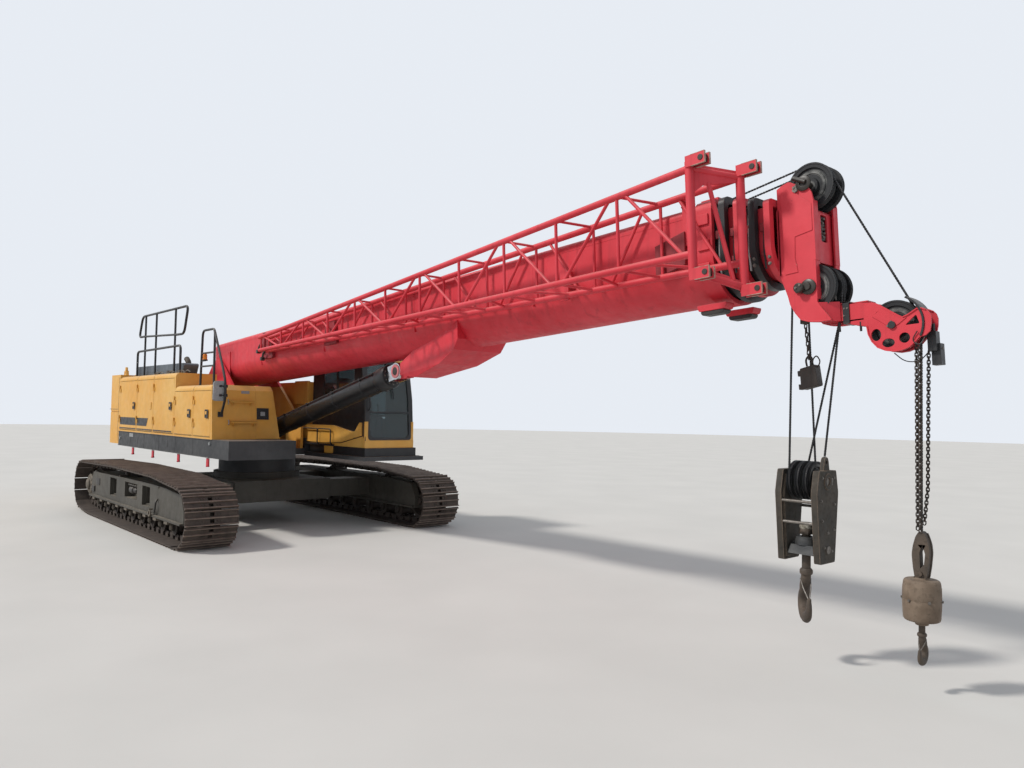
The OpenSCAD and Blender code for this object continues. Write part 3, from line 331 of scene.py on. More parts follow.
def raw_metal(name, colour, other, metal, rough, grain=0.03, blotch=0.12, bump_height=0.006):
    material, tree, shader = new_material(name)
    place = object_place(tree)
    tone = blend_colour(tree, blotches(tree, place, blotch, 6.0, 0.36, 0.66), colour, other)
    dark = darker(colour, 0.5)
    tone = blend_colour(tree, blotches(tree, place, grain, 4.0, 0.5, 0.72, 0, 0.6), tone, dark)
    link(tree, tone, shader.inputs["Base Color"])
    shader.inputs["Metallic"].default_value = metal
    link(tree, blotches(tree, place, grain * 2, 5.0, 0.3, 0.7, rough - 0.1, rough + 0.15),
        shader.inputs["Roughness"])
    add_bump(tree, shader, place, 0.35, bump_height, grain, 6.0)
    return material


rust_dark = raw_metal("rust_dark", (0.036, 0.028, 0.023, 1), (0.062, 0.045, 0.035, 1), 0.0, 0.75)
rust_brown = raw_metal("rust_brown", (0.05, 0.038, 0.029, 1), (0.092, 0.068, 0.05, 1), 0.0, 0.7)
weight_iron = raw_metal("weight_iron", (0.13, 0.09, 0.06, 1), (0.22, 0.165, 0.12, 1), 0.0, 0.75)
sheave_iron = raw_metal("sheave_iron", (0.035, 0.036, 0.038, 1), (0.1, 0.1, 0.098, 1), 0.2, 0.5)
bolt_steel = raw_metal("bolt_steel", (0.14, 0.125, 0.11, 1), (0.22, 0.2, 0.18, 1), 0.5, 0.5, 0.01, 0.05)
rope_steel = raw_metal("rope_steel", (0.014, 0.014, 0.016, 1), (0.035, 0.034, 0.034, 1), 0.4, 0.45, 0.006,
    0.04, 0.002)
rubber = raw_metal("rubber", (0.01, 0.01, 0.011, 1), (0.022, 0.021, 0.021, 1), 0.0, 0.6, 0.01, 0.08, 0.002)
chrome = raw_metal("chrome", (0.62, 0.62, 0.63, 1), (0.55, 0.55, 0.56, 1), 1.0, 0.16, 0.05, 0.3, 0.0005)
grey_plastic = raw_metal("grey_plastic", (0.26, 0.27, 0.27, 1), (0.36, 0.36, 0.36, 1), 0.0, 0.5, 0.02, 0.2,
    0.001)
vinyl = raw_metal("vinyl", (0.018, 0.018, 0.02, 1), (0.03, 0.03, 0.032, 1), 0.0, 0.6, 0.004, 0.1, 0.001)


print("metals and rubber mixed")

# %% Iron with rubbed edges, and the tower's red top


def worn_edges(name, colour, other, edge, width):
    """Rusty iron whose outer edges are rubbed to a paler brown."""
    material = raw_metal(name, colour, other, 0.0, 0.75)
    tree = material.node_tree
    shader = tree.nodes["Principled BSDF"]
    place = object_place(tree)
    tone = shader.inputs["Base Color"].links[0].from_socket
    rub = times(tree, ramp(tree, edge_mask(tree, width), 0.1, 0.8),
        blotches(tree, place, 0.1, 4.0, 0.2, 0.6, 0.35, 1.0))
    link(tree, blend_colour(tree, rub, tone, edge), shader.inputs["Base Color"])
    return material


cheek_iron = worn_edges("cheek_iron", (0.03, 0.026, 0.02, 1), (0.06, 0.048, 0.036, 1),
    (0.24, 0.17, 0.12, 1), 0.012)


def red_above(material, level):
    """Paint everything above a height red, as where the boom foot meets the tower."""
    tree = material.node_tree
    shader = tree.nodes["Principled BSDF"]
    place = object_place(tree)
    parts = add_node(tree, "ShaderNodeSeparateXYZ")
    link(tree, place, parts.inputs[0])
    tone = shader.inputs["Base Color"].links[0].from_socket
    red = blend_colour(tree, blotches(tree, place, 1.3, 4.0, 0.35, 0.68), RED, FADED_RED)
    mask = ramp(tree, parts.outputs["Z"], level - 0.004, level + 0.004)
    link(tree, blend_colour(tree, mask, tone, red), shader.inputs["Base Color"])
    return material


paint_tower = red_above(old_paint("paint_tower", AMBER, FADED_AMBER, BARE_STEEL, dust=0.4, streaks=0.1),
    2.6)


print("rubbed iron and tower paint mixed")

# %% Track metal


def track_metal():
    """Brown rust, polished to bright steel where the grousers meet the ground."""
    material, tree, shader = new_material("track_metal")
    place = object_place(tree)
    tone = blend_colour(tree, blotches(tree, place, 0.1, 6.0, 0.35, 0.65), (0.046, 0.034, 0.028, 1),
        (0.074, 0.055, 0.043, 1))
    worn = add_node(tree, "ShaderNodeAttribute", attribute_name="wear")
    shine = times(tree, worn.outputs["Fac"], blotches(tree, place, 0.14, 4.0, 0.3, 0.7, 0.35, 0.85))
    tone = blend_colour(tree, shine, tone, (0.27, 0.205, 0.165, 1))
    tone = blend_colour(tree, blotches(tree, place, 0.02, 4.0, 0.55, 0.75, 0, 0.4), tone,
        (0.022, 0.017, 0.014, 1))
    link(tree, tone, shader.inputs["Base Color"])
    link(tree, ramp(tree, shine, 0, 1, 0.78, 0.42), shader.inputs["Roughness"])
    link(tree, times(tree, shine, 0.7), shader.inputs["Metallic"])
    add_bump(tree, shader, place, 0.4, 0.006, 0.03, 6.0)
    return material


track_steel = track_metal()


print("track metal mixed")

# %% Glass


def clear_glass(name, tint, rough=0.03, through=0.85):
    material, tree, shader = new_material(name)
    place = object_place(tree)
    shader.inputs["Base Color"].default_value = tint
    shader.inputs["Transmission Weight"].default_value = through
    link(tree, blotches(tree, place, 0.4, 5.0, 0.4, 0.8, rough, rough + 0.18), shader.inputs["Roughness"])
    shader.inputs["IOR"].default_value = 1.45
    return material


window_glass = clear_glass("window_glass", (0.16, 0.22, 0.23, 1))
lamp_glass = clear_glass("lamp_glass", (0.85, 0.87, 0.88, 1), 0.08, 0.5)
beacon_glass = clear_glass("beacon_glass", (0.9, 0.3, 0.02, 1), 0.1, 0.4)
mirror_glass = raw_metal("mirror_glass", (0.55, 0.57, 0.58, 1), (0.5, 0.52, 0.53, 1), 1.0, 0.12, 0.1, 0.3,
    0.0002)

print("glass and mirror mixed")

# %% [markdown]
# Small helpers build closed shapes straight into a mesh: boxes, plates cut from an outline,
# round bars, turned rings and tubes that follow a line. A piece is finished by one call, which
# rounds its edges with a bevel, so that they catch the light as rolled and cut steel does.

# %% Boxes, outlines and plates


def add_box(bm, low, high):
    lo = [min(a, b) for a, b in zip(low, high)]
    hi = [max(a, b) for a, b in zip(low, high)]
    corners = [bm.verts.new((x, y, z)) for x in (lo[0], hi[0]) for y in (lo[1], hi[1])
        for z in (lo[2], hi[2])]
    for face in ((0, 1, 3, 2), (4, 6, 7, 5), (0, 4, 5, 1), (2, 3, 7, 6), (0, 2, 6, 4), (1, 5, 7, 3)):
        bm.faces.new([corners[i] for i in face])


def placed(spot, angle, axis):
    """The matrix that turns a drawing about an axis and then sets it on its spot."""
    return Matrix.Translation(spot) @ Matrix.Rotation(angle, 4, axis)


def rectangle(x0, z0, x1, z1):
    return [(x0, z0), (x1, z0), (x1, z1), (x0, z1)]


def circle(x, z, radius, count):
    angles = [2 * math.pi * i / count for i in range(count)]
    return [(x + radius * math.cos(a), z + radius * math.sin(a)) for a in angles]


def on_axis(pair, level, axis):
    """The place of an outline's point at one level of the axis that the outline faces."""
    if axis == "y":
        return (pair[0], level, pair[1])
    if axis == "x":
        return (level, pair[0], pair[1])
    return (pair[0], pair[1], level)


def add_prism(bm, outline, low, high, axis="y"):
    """An outline pushed from low to high along an axis. The outline's two numbers are the other axes."""
    ends = [[bm.verts.new(on_axis(pair, level, axis)) for pair in outline] for level in (low, high)]
    caps = [bm.faces.new(ends[0]), bm.faces.new(ends[1][::-1])]
    count = len(outline)
    sides = [bm.faces.new((ends[0][i], ends[1][i], ends[1][(i + 1) % count], ends[0][(i + 1) % count]))
        for i in range(count)]
    bmesh.ops.recalc_face_normals(bm, faces=caps + sides)


print("boxes and plates ready")

# %% Turned rings and discs


def turn_to(axis):
    return Vector((0, 0, 1)).rotation_difference(Vector(axis)).to_matrix()


def add_ring(bm, profile, centre, axis=(0, 1, 0), steps=48):
    """A closed profile of (radius, distance along the axis) pairs, turned round the axis."""
    turn = turn_to(axis)
    centre = Vector(centre)
    rings = []
    for i in range(steps):
        angle = 2 * math.pi * i / steps
        rings.append([bm.verts.new(centre + turn @ Vector((r * math.cos(angle), r * math.sin(angle), h)))
            if r > 1e-6 else None for r, h in profile])
    poles = {}
    for k, (r, h) in enumerate(profile):
        if r <= 1e-6:
            poles[k] = bm.verts.new(centre + turn @ Vector((0, 0, h)))
    made = []
    for i in range(steps):
        here, there = rings[i], rings[(i + 1) % steps]
        for k in range(len(profile)):
            n = (k + 1) % len(profile)
            corners = [here[k] or poles[k], there[k] or poles[k], there[n] or poles[n], here[n] or poles[n]]
            unique = list(dict.fromkeys(corners))
            if len(unique) > 2:
                made.append(bm.faces.new(unique))
    bmesh.ops.recalc_face_normals(bm, faces=made)


def add_disc(bm, centre, radius, width, axis=(0, 1, 0), steps=32):
    add_ring(bm, rectangle(0, -width / 2, radius, width / 2), centre, axis, steps)


print("rings ready")

# %% Tubes, bolts and rounded outlines


def at_y(y, *pairs):
    """Points of a path in one upright plane along the machine, from their x and z."""
    return [(x, y, z) for x, z in pairs]


def round_corner(before, corner, after, reach, steps):
    start = corner + (before - corner).normalized() * reach
    end = corner + (after - corner).normalized() * reach
    shares = [i / steps for i in range(steps + 1)]
    return [start * (1 - t) ** 2 + corner * 2 * t * (1 - t) + end * t ** 2 for t in shares]


def rounded_path(points, bend, steps=5):
    """The points with their inner corners turned into arcs of about bend metres."""
    points = [Vector(p) for p in points]
    if bend <= 0 or len(points) < 3:
        return points
    made = [points[0]]
    for before, corner, after in zip(points, points[1:], points[2:]):
        reach = min(bend, (corner - before).length * 0.48, (after - corner).length * 0.48)
        made += round_corner(before, corner, after, reach, steps)
    made.append(points[-1])
    return made


def close_rings(bm, rings, sides):
    """Skins rings of points one after another, with a cap at each end."""
    made = [bm.faces.new(rings[0][::-1]), bm.faces.new(rings[-1])]
    for a, b in zip(rings, rings[1:]):
        for k in range(sides):
            made.append(bm.faces.new((a[k], a[(k + 1) % sides], b[(k + 1) % sides], b[k])))
    bmesh.ops.recalc_face_normals(bm, faces=made)


def add_tube(bm, points, radius, bend=0.0, sides=10, twist=0.0, lobes=0, lobe_depth=0.0):
    """A round tube along the points. Lobes with a twist make the strands of a wire rope."""
    line = rounded_path(points, bend)
    tangent = (line[1] - line[0]).normalized()
    side = tangent.orthogonal().normalized()
    rings = []
    run = 0.0
    for i, place in enumerate(line):
        before = line[max(i - 1, 0)]
        after = line[min(i + 1, len(line) - 1)]
        fresh = (after - before).normalized()
        side = (tangent.rotation_difference(fresh) @ side).normalized()
        tangent = fresh
        other = tangent.cross(side)
        run += (place - before).length
        spin = run * twist
        ring = []
        for k in range(sides):
            angle = 2 * math.pi * k / sides
            r = radius * (1 - lobe_depth * (0.5 - 0.5 * math.cos(lobes * angle))) if lobes else radius
            out = side * math.cos(angle + spin) + other * math.sin(angle + spin)
            ring.append(bm.verts.new(place + out * r))
        rings.append(ring)
    close_rings(bm, rings, sides)


def add_bolt(bm, place, axis, size=0.012):
    """A washer and a six-sided head."""
    axis = Vector(axis).normalized()
    add_disc(bm, Vector(place) + axis * size * 0.12, size * 1.25, size * 0.24, axis, 12)
    add_disc(bm, Vector(place) + axis * size * 0.55, size, size * 0.75, axis, 6)


def rounded_outline(points, radius, steps=4):
    """An outline with every corner rounded."""
    count = len(points)
    made = []
    for i in range(count):
        before, corner, after = (Vector(points[(i + k) % count]) for k in (-1, 0, 1))
        reach = min(radius, (corner - before).length * 0.45, (after - corner).length * 0.45)
        made += [tuple(point) for point in round_corner(before, corner, after, reach, steps)]
    return made


print("tubes and bolts ready")


def add_slab(bm, x0, z0, x1, z1, radius, low, high, axis="y"):
    """A plate with rounded corners, from low to high along an axis."""
    add_prism(bm, rounded_outline(rectangle(x0, z0, x1, z1), radius), low, high, axis)


def finish_piece(bm, name, body, material, bevel=0.001, segments=1, sharp=35, move=None):
    """Makes the mesh an object that rides on a body, with its edges rounded."""
    mesh = bpy.data.meshes.new(name)
    if move is not None:
        bmesh.ops.transform(bm, matrix=move, verts=bm.verts)
    bm.to_mesh(mesh)
    bm.free()
    piece = bpy.data.objects.new(name, mesh)
    into_scene(piece)
    mesh.materials.append(material)
    mesh.shade_smooth()
    mesh.set_sharp_from_angle(angle=math.radians(sharp))
    if bevel > 0:
        round_off = piece.modifiers.new("edges", "BEVEL")
        round_off.width = bevel
        round_off.segments = segments
        round_off.limit_method = "ANGLE"
        round_off.angle_limit = math.radians(sharp)
        round_off.harden_normals = True
    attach(piece, body)
    # A finish whose name is taken already has .001 behind it
    return piece


FOOT_PIN = Vector((-0.9, 0, 2.95))
BOOM_ANGLE = math.radians(3.2)
on_boom = placed(FOOT_PIN, -BOOM_ANGLE, "Y")
print("boom frame ready")

# %% [markdown]
# Each CAD node that stays in view takes the paint of its own part of the machine.

# %% Paint on the CAD nodes
# The lift barrel takes the darkened black, which is painted shade.
node_paint = {"carbody": paint_olive, "slew_ring": paint_charcoal, "side_frame_right": paint_olive,
    "side_frame_left": paint_olive, "track_right": track_steel, "track_left": track_steel,
    "wheels_right": rust_dark, "wheels_left": rust_dark, "deck": paint_charcoal,
    "counterweight": paint_amber, "engine": rubber, "house_shell": paint_amber, "tall_door_1": paint_amber,
    "tall_door_2": paint_amber, "tall_door_3": paint_amber, "low_door_1": paint_amber,
    "low_door_2": paint_amber, "left_housing": paint_amber, "cab_shell": paint_amber,
    "cab_door": paint_amber, "cab_glass": window_glass, "cab_seat": vinyl, "boom_tower": paint_tower,
    "winches": paint_charcoal, "roof_rails": paint_black, "front_rails": paint_black,
    "mirror": grey_plastic, "lift_barrel": cylinder_black_painted_shade, "lift_rod": chrome, "boom_base": paint_red,
    "boom_bracket": paint_red, "jib": paint_red, "section_2": paint_black, "section_3": paint_red,
    "section_4": paint_black, "section_5": paint_red, "boom_head": paint_red, "head_sheaves": sheave_iron,
    "aux_arm": paint_red, "main_ropes": rope_steel, "main_block": rust_brown, "main_hook": rust_brown,
    "aux_line": rope_steel, "aux_weight": weight_iron, "aux_hook": rust_brown}
for name, material in node_paint.items():
    mesh = nodes[name].data
    mesh.materials.clear()
    mesh.materials.append(material)
print("painted", len(node_paint), "nodes")

# %% [markdown]
# A track is one shoe repeated sixty times along a closed line that hugs the idler, the carrier
# rollers, the sprocket and the ground. Copying shoes by hand would hide that rule, so the line is
# worked out once from the wheels, and Geometry Nodes set a shoe on it at even steps and turn
# each one so that its bars face outwards.

# %% Line that the track follows
SHOE_COUNT = 60
TRACK_Y = 2.1
LINK_DEPTH = 0.092
IDLER_RADIUS, SPROCKET_RADIUS, ROLLER_RADIUS, CARRIER_RADIUS = 0.335, 0.348, 0.105, 0.075
IDLER, FRONT_CARRIER, REAR_CARRIER = (2.836, 0.472), (1.64, 0.833), (-0.62, 0.858)
SPROCKET, REAR_ROLLER, LAST_ROLLER_X = (-2.836, 0.545), (-2.18, 0.242), 2.13
ROLLER_COUNT = 9
track_wheels = [(IDLER, IDLER_RADIUS), (FRONT_CARRIER, CARRIER_RADIUS), (REAR_CARRIER, CARRIER_RADIUS),
    (SPROCKET, SPROCKET_RADIUS), (REAR_ROLLER, ROLLER_RADIUS)]
track_wheels = [(x, z, radius + LINK_DEPTH) for (x, z), radius in track_wheels]


def run_angle(i):
    """Outward direction of the straight run from one wheel to the next."""
    x0, z0, r0 = track_wheels[i % 5]
    x1, z1, r1 = track_wheels[(i + 1) % 5]
    return math.atan2(z1 - z0, x1 - x0) - math.acos((r0 - r1) / math.hypot(x1 - x0, z1 - z0))


def track_line():
    points = []
    for i, (x, z, radius) in enumerate(track_wheels):
        start = run_angle(i - 1)
        sweep = (run_angle(i) - start) % (2 * math.pi)
        steps = max(3, round(math.degrees(sweep) / 4))
        points += [(x + radius * math.cos(start + sweep * k / steps),
            z + radius * math.sin(start + sweep * k / steps)) for k in range(steps + 1)]
    return points


line_points = track_line()
track_length = sum(math.dist(a, b) for a, b in zip(line_points, line_points[1:] + line_points[:1]))
PITCH = track_length / SHOE_COUNT
print("track", round(track_length, 2), "m round, one shoe every", round(PITCH * 1000), "mm")

# %% [markdown]
# A shoe is a rolled plate with three bars that bite into the ground, bolted to two links of a
# chain. One outline pushed across the width gives the bars, and gaps in the middle let mud out.

# %% One shoe with its links
SHOE_HALF = 0.4
PLATE, BAR = 0.018, 0.045


def add_shoe(bm):
    p = PITCH
    profile = [(-0.5, 0.001), (-0.5, 0.012), (-0.462, BAR), (-0.418, BAR), (-0.375, PLATE), (-0.075, PLATE),
        (-0.032, BAR), (0.032, BAR), (0.075, PLATE), (0.375, PLATE), (0.412, BAR), (0.455, BAR),
        (0.485, 0.014), (0.47, 0.001)]
    profile = [(x * p, z) for x, z in profile]
    for low, high in ((-SHOE_HALF, -0.034), (0.034, SHOE_HALF)):
        add_prism(bm, profile, low, high)
    for low, high in ((0, 5), (5, 9), (9, 14)):
        part = profile[low:high]
        ends = {0: [(-0.335 * p, PLATE), (-0.335 * p, 0.001)],
            5: [(0.1 * p, PLATE), (0.1 * p, 0.001), (-0.1 * p, 0.001), (-0.1 * p, PLATE)],
            9: [(0.335 * p, 0.001), (0.335 * p, PLATE)]}[low]
        add_prism(bm, (part + ends) if low != 5 else (profile[6:8] + ends), -0.036, 0.036)


def add_links(bm):
    p = PITCH
    rise = [(-0.56, -0.06), (-0.5, -0.086), (-0.3, -0.091), (0.12, -0.091), (0.12, -0.003), (-0.4, -0.003),
        (-0.56, -0.03)]
    for side in (-1, 1):
        add_prism(bm, [(x * p, z) for x, z in rise], side * 0.083, side * 0.108)
        add_prism(bm, [(-x * p, z) for x, z in rise], side * 0.11, side * 0.135)
    add_disc(bm, (0.5 * p, 0, -0.046), 0.021, 0.3, (0, 1, 0), 10)
    add_disc(bm, (0.5 * p, 0, -0.046), 0.031, 0.162, (0, 1, 0), 10)
    for x in (-0.22, 0.22):
        for y in (-0.135, -0.09, 0.09, 0.135):
            add_disc(bm, (x * p, y, PLATE + 0.006), 0.014, 0.014, (0, 0, 1), 6)


def make_shoe():
    bm = bmesh.new()
    add_shoe(bm)
    add_links(bm)
    wear = bm.verts.layers.float.new("wear")
    for vert in bm.verts:
        vert[wear] = 1.0 if vert.co.z > BAR - 0.001 else 0.0
    mesh = bpy.data.meshes.new("shoe_pattern")
    bm.to_mesh(mesh)
    bm.free()
    pattern = bpy.data.objects.new("shoe_pattern", mesh)
    print("one shoe has", len(mesh.polygons), "faces")
    return pattern


# %% [markdown]
# The tree below turns a closed line into a curve, cuts it into even steps and sets a pattern on
# each step. The tangent and its cross product with the axle's direction tell which way is out.

# %% Geometry Nodes that repeat a pattern along a line
def repeat_tree(name):
    """Sets a pattern on a closed line: X along the line, Z away from its middle."""
    tree = bpy.data.node_groups.new(name, "GeometryNodeTree")
    face = tree.interface
    face.new_socket("Line", in_out="INPUT", socket_type="NodeSocketGeometry")
    sockets = {"count": face.new_socket("Count", in_out="INPUT", socket_type="NodeSocketInt"),
        "pattern": face.new_socket("Pattern", in_out="INPUT", socket_type="NodeSocketObject"),
        "finish": face.new_socket("Finish", in_out="INPUT", socket_type="NodeSocketMaterial")}
    face.new_socket("Geometry", in_out="OUTPUT", socket_type="NodeSocketGeometry")
    start = tree.nodes.new("NodeGroupInput")
    end = tree.nodes.new("NodeGroupOutput")
    curve = tree.nodes.new("GeometryNodeMeshToCurve")
    resample = tree.nodes.new("GeometryNodeResampleCurve")
    resample.mode = "COUNT"
    tangent = tree.nodes.new("GeometryNodeInputTangent")
    outward = add_node(tree, "ShaderNodeVectorMath", operation="CROSS_PRODUCT")
    outward.inputs[0].default_value = (0, 1, 0)
    turn = tree.nodes.new("FunctionNodeAxesToRotation")
    turn.primary_axis = "X"
    turn.secondary_axis = "Z"
    pattern = tree.nodes.new("GeometryNodeObjectInfo")
    instances = tree.nodes.new("GeometryNodeInstanceOnPoints")
    realize = tree.nodes.new("GeometryNodeRealizeInstances")
    finish = tree.nodes.new("GeometryNodeSetMaterial")
    for source, target in ((start.outputs["Line"], curve.inputs["Mesh"]),
            (curve.outputs["Curve"], resample.inputs["Curve"]),
            (start.outputs["Count"], resample.inputs["Count"]), (tangent.outputs[0], outward.inputs[1]),
            (tangent.outputs[0], turn.inputs["Primary Axis"]),
            (outward.outputs[0], turn.inputs["Secondary Axis"]),
            (start.outputs["Pattern"], pattern.inputs["Object"]),
            (resample.outputs["Curve"], instances.inputs["Points"]),
            (pattern.outputs["Geometry"], instances.inputs["Instance"]),
            (turn.outputs["Rotation"], instances.inputs["Rotation"]),
            (instances.outputs["Instances"], realize.inputs["Geometry"]),
            (realize.outputs["Geometry"], finish.inputs["Geometry"]),
            (start.outputs["Finish"], finish.inputs["Material"]),
            (finish.outputs["Geometry"], end.inputs[0])):
        link(tree, source, target)
    return tree, {key: socket.identifier for key, socket in sockets.items()}


print("tree for repeats ready")

# %% Shoes set on both tracks


def settle_modifiers(piece):
    """Turns what the modifiers show into a plain mesh."""
    graph = bpy.context.evaluated_depsgraph_get()
    mesh = bpy.data.meshes.new_from_object(piece.evaluated_get(graph))
    piece.modifiers.clear()
    piece.data = mesh
    return piece


def line_object(name, points, closed=True):
    mesh = bpy.data.meshes.new(name)
    count = len(points)
    edges = [(i, (i + 1) % count) for i in range(count if closed else count - 1)]
    mesh.from_pydata(points, edges, [])
    piece = bpy.data.objects.new(name, mesh)
    into_scene(piece)
    return piece


def repeat_on_line(name, points, tree, ids, count, pattern, material, closed=True):
    piece = line_object(name, points, closed)
    nodes_mod = piece.modifiers.new("repeat", "NODES")
    nodes_mod.node_group = tree
    nodes_mod[ids["count"]] = count
    nodes_mod[ids["pattern"]] = pattern
    nodes_mod[ids["finish"]] = material
    return settle_modifiers(piece)


repeat_group, repeat_ids = repeat_tree("repeat_on_a_line")
shoe_pattern = make_shoe()
for side, word in ((-1, "right"), (1, "left")):
    ring = [(x, side * TRACK_Y, z) for x, z in line_points]
    track = repeat_on_line("track_shoes_" + word, ring, repeat_group, repeat_ids, SHOE_COUNT, shoe_pattern,
        track_steel)
    for vert in track.data.vertices:
        vert.co.z = max(vert.co.z, 0)
    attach(track, "crawler_" + word)
    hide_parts("track_" + word)
    print(track.name, len(track.data.polygons), "faces")

# %% [markdown]
# Inside the track run the wheels that carry it. Each is a turned shape, so each is one profile
# spun round its axle: rollers with two flanges that keep the links in line, an idler with a
# middle flange, and a toothed sprocket whose hub holds the drive gears.

# %% Rollers, idler and sprocket
ROLLER_PROFILE = [(0.025, -0.165), (0.128, -0.165), (0.128, -0.146), (0.104, -0.14), (0.104, -0.082),
    (0.088, -0.07), (0.088, 0.07), (0.104, 0.082), (0.104, 0.14), (0.128, 0.146), (0.128, 0.165),
    (0.025, 0.165)]
CARRIER_PROFILE = [(0.024, -0.14), (0.074, -0.14), (0.074, -0.078), (0.088, -0.072), (0.088, 0.072),
    (0.074, 0.078), (0.074, 0.14), (0.024, 0.14)]
IDLER_PROFILE = [(0.06, -0.145), (0.13, -0.145), (0.14, -0.05), (0.255, -0.035), (0.275, -0.134),
    (0.334, -0.134), (0.334, -0.08), (0.358, -0.066), (0.358, 0.066), (0.334, 0.08), (0.334, 0.134),
    (0.275, 0.134), (0.255, 0.035), (0.14, 0.05), (0.13, 0.145), (0.06, 0.145)]
TEETH = 21


def tooth_outline():
    outline = []
    for i in range(TEETH):
        for share, radius in ((-0.46, 0.316), (-0.26, 0.326), (-0.12, 0.378), (0.12, 0.378), (0.26, 0.326)):
            angle = 2 * math.pi * (i + share) / TEETH
            outline.append((SPROCKET[0] + radius * math.cos(angle), SPROCKET[1] + radius * math.sin(angle)))
    return outline


def add_bolt_circle(bm, centre, axis, radius, count, size, start=0.0):
    turn = turn_to(axis)
    for i in range(count):
        angle = start + 2 * math.pi * i / count
        spot = Vector(centre) + turn @ Vector((radius * math.cos(angle), radius * math.sin(angle), 0))
        add_bolt(bm, spot, axis, size)


def make_wheels(side, word):
    body = "crawler_" + word
    y = side * TRACK_Y
    bm = bmesh.new()
    for i in range(ROLLER_COUNT):
        x = REAR_ROLLER[0] + (LAST_ROLLER_X - REAR_ROLLER[0]) * i / (ROLLER_COUNT - 1)
        add_ring(bm, ROLLER_PROFILE, (x, y, REAR_ROLLER[1]), steps=32)
        for end in (-1, 1):
            add_ring(bm, [(0, 0.17), (0.058, 0.17), (0.058, 0.2), (0.046, 0.212), (0.018, 0.212),
                (0.014, 0.22), (0, 0.22)], (x, y, REAR_ROLLER[1]), (0, end, 0), 20)
    for x, z in (FRONT_CARRIER, REAR_CARRIER):
        add_ring(bm, CARRIER_PROFILE, (x, y, z), steps=28)
        add_disc(bm, (x, y, z), 0.023, 0.5, steps=14)
    add_ring(bm, IDLER_PROFILE, (IDLER[0], y, IDLER[1]), steps=56)
    add_disc(bm, (IDLER[0], y, IDLER[1]), 0.06, 0.36, steps=20)
    add_prism(bm, tooth_outline(), y - 0.038, y + 0.038)
    add_ring(bm, [(0.14, -0.075), (0.262, -0.075), (0.3, -0.036), (0.3, 0.036), (0.262, 0.075),
        (0.14, 0.075)], (SPROCKET[0], y, SPROCKET[1]), steps=48)
    for end in (-1, 1):
        add_ring(bm, [(0, 0), (0.236, 0), (0.236, 0.14), (0.222, 0.16), (0.19, 0.165), (0.185, 0.215),
            (0.15, 0.228), (0.05, 0.23), (0.045, 0.238), (0, 0.238)], (SPROCKET[0], y, SPROCKET[1]),
            (0, end, 0), 40)
        add_bolt_circle(bm, (SPROCKET[0], y + end * 0.163, SPROCKET[1]), (0, end, 0), 0.207, 16, 0.01)
        add_bolt_circle(bm, (SPROCKET[0], y + end * 0.226, SPROCKET[1]), (0, end, 0), 0.11, 8, 0.009)
        add_bolt_circle(bm, (SPROCKET[0], y + end * 0.075, SPROCKET[1]), (0, end, 0), 0.255, 21, 0.011)
    add_box(bm, (SPROCKET[0] + 0.2, y - 0.088, SPROCKET[1] - 0.118),
        (-2.473, y + 0.088, SPROCKET[1] + 0.118))
    wheels = finish_piece(bm, "wheels_in_" + word + "_track", body, rust_dark, 0.003, 2)
    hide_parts("wheels_" + word)


for side, word in ((-1, "right"), (1, "left")):
    make_wheels(side, word)
print("wheels made")

# %% [markdown]
# The boom head is where the crane does its work, and it fills the middle of the picture. Two side
# plates hold the sheaves on greasy pins; the ropes come over the top, drop through the front and
# lift the block. Every turned part is spun from a profile with a real rope groove, and the sheave
# web keeps the machined rings that show as pale and dark bands.

# %% Plates with holes, and strips along an edge
from mathutils.geometry import tessellate_polygon


def add_plate(bm, outline, holes, low, high, axis="y"):
    """A flat plate with holes, pushed from low to high along an axis."""
    loops = [outline] + holes
    flat = [pair for loop in loops for pair in loop]
    triangles = tessellate_polygon([[Vector((a, b, 0)) for a, b in loop] for loop in loops])

    ends = [[bm.verts.new(on_axis(pair, level, axis)) for pair in flat] for level in (low, high)]
    made = [bm.faces.new([end[i] for i in tri]) for end in ends for tri in triangles]
    start = 0
    for loop in loops:
        count = len(loop)
        for i in range(count):
            a, b = start + i, start + (i + 1) % count
            made.append(bm.faces.new((ends[0][a], ends[0][b], ends[1][b], ends[1][a])))
        start += count
    bmesh.ops.recalc_face_normals(bm, faces=made)


def add_strip(bm, line, thick, low, high, axis="y"):
    """A flat bar bent along a line of outline points, with its inner side on the line."""
    outer = []
    for i, here in enumerate(line):
        before = Vector(line[max(i - 1, 0)])
        after = Vector(line[min(i + 1, len(line) - 1)])
        way = (after - before).normalized()
        outer.append((here[0] + way[1] * thick, here[1] - way[0] * thick))
    for i in range(len(line) - 1):
        add_prism(bm, [line[i], line[i + 1], outer[i + 1], outer[i]], low, high, axis)


def mirrored(low, high):
    """The same y range on both sides of the middle."""
    return ((-high, -low), (low, high))


print("plates with holes ready")

# %% [markdown]
# The head's side plates are flame-cut, so one outline is pushed through their thickness and a
# strip follows its lower edge as the flange does. The same outline serves both sides.

# %% Head plates
HEAD_START = 12.27


def on_head(points):
    return [(HEAD_START + x / 1000, z / 1000) for x, z in points]


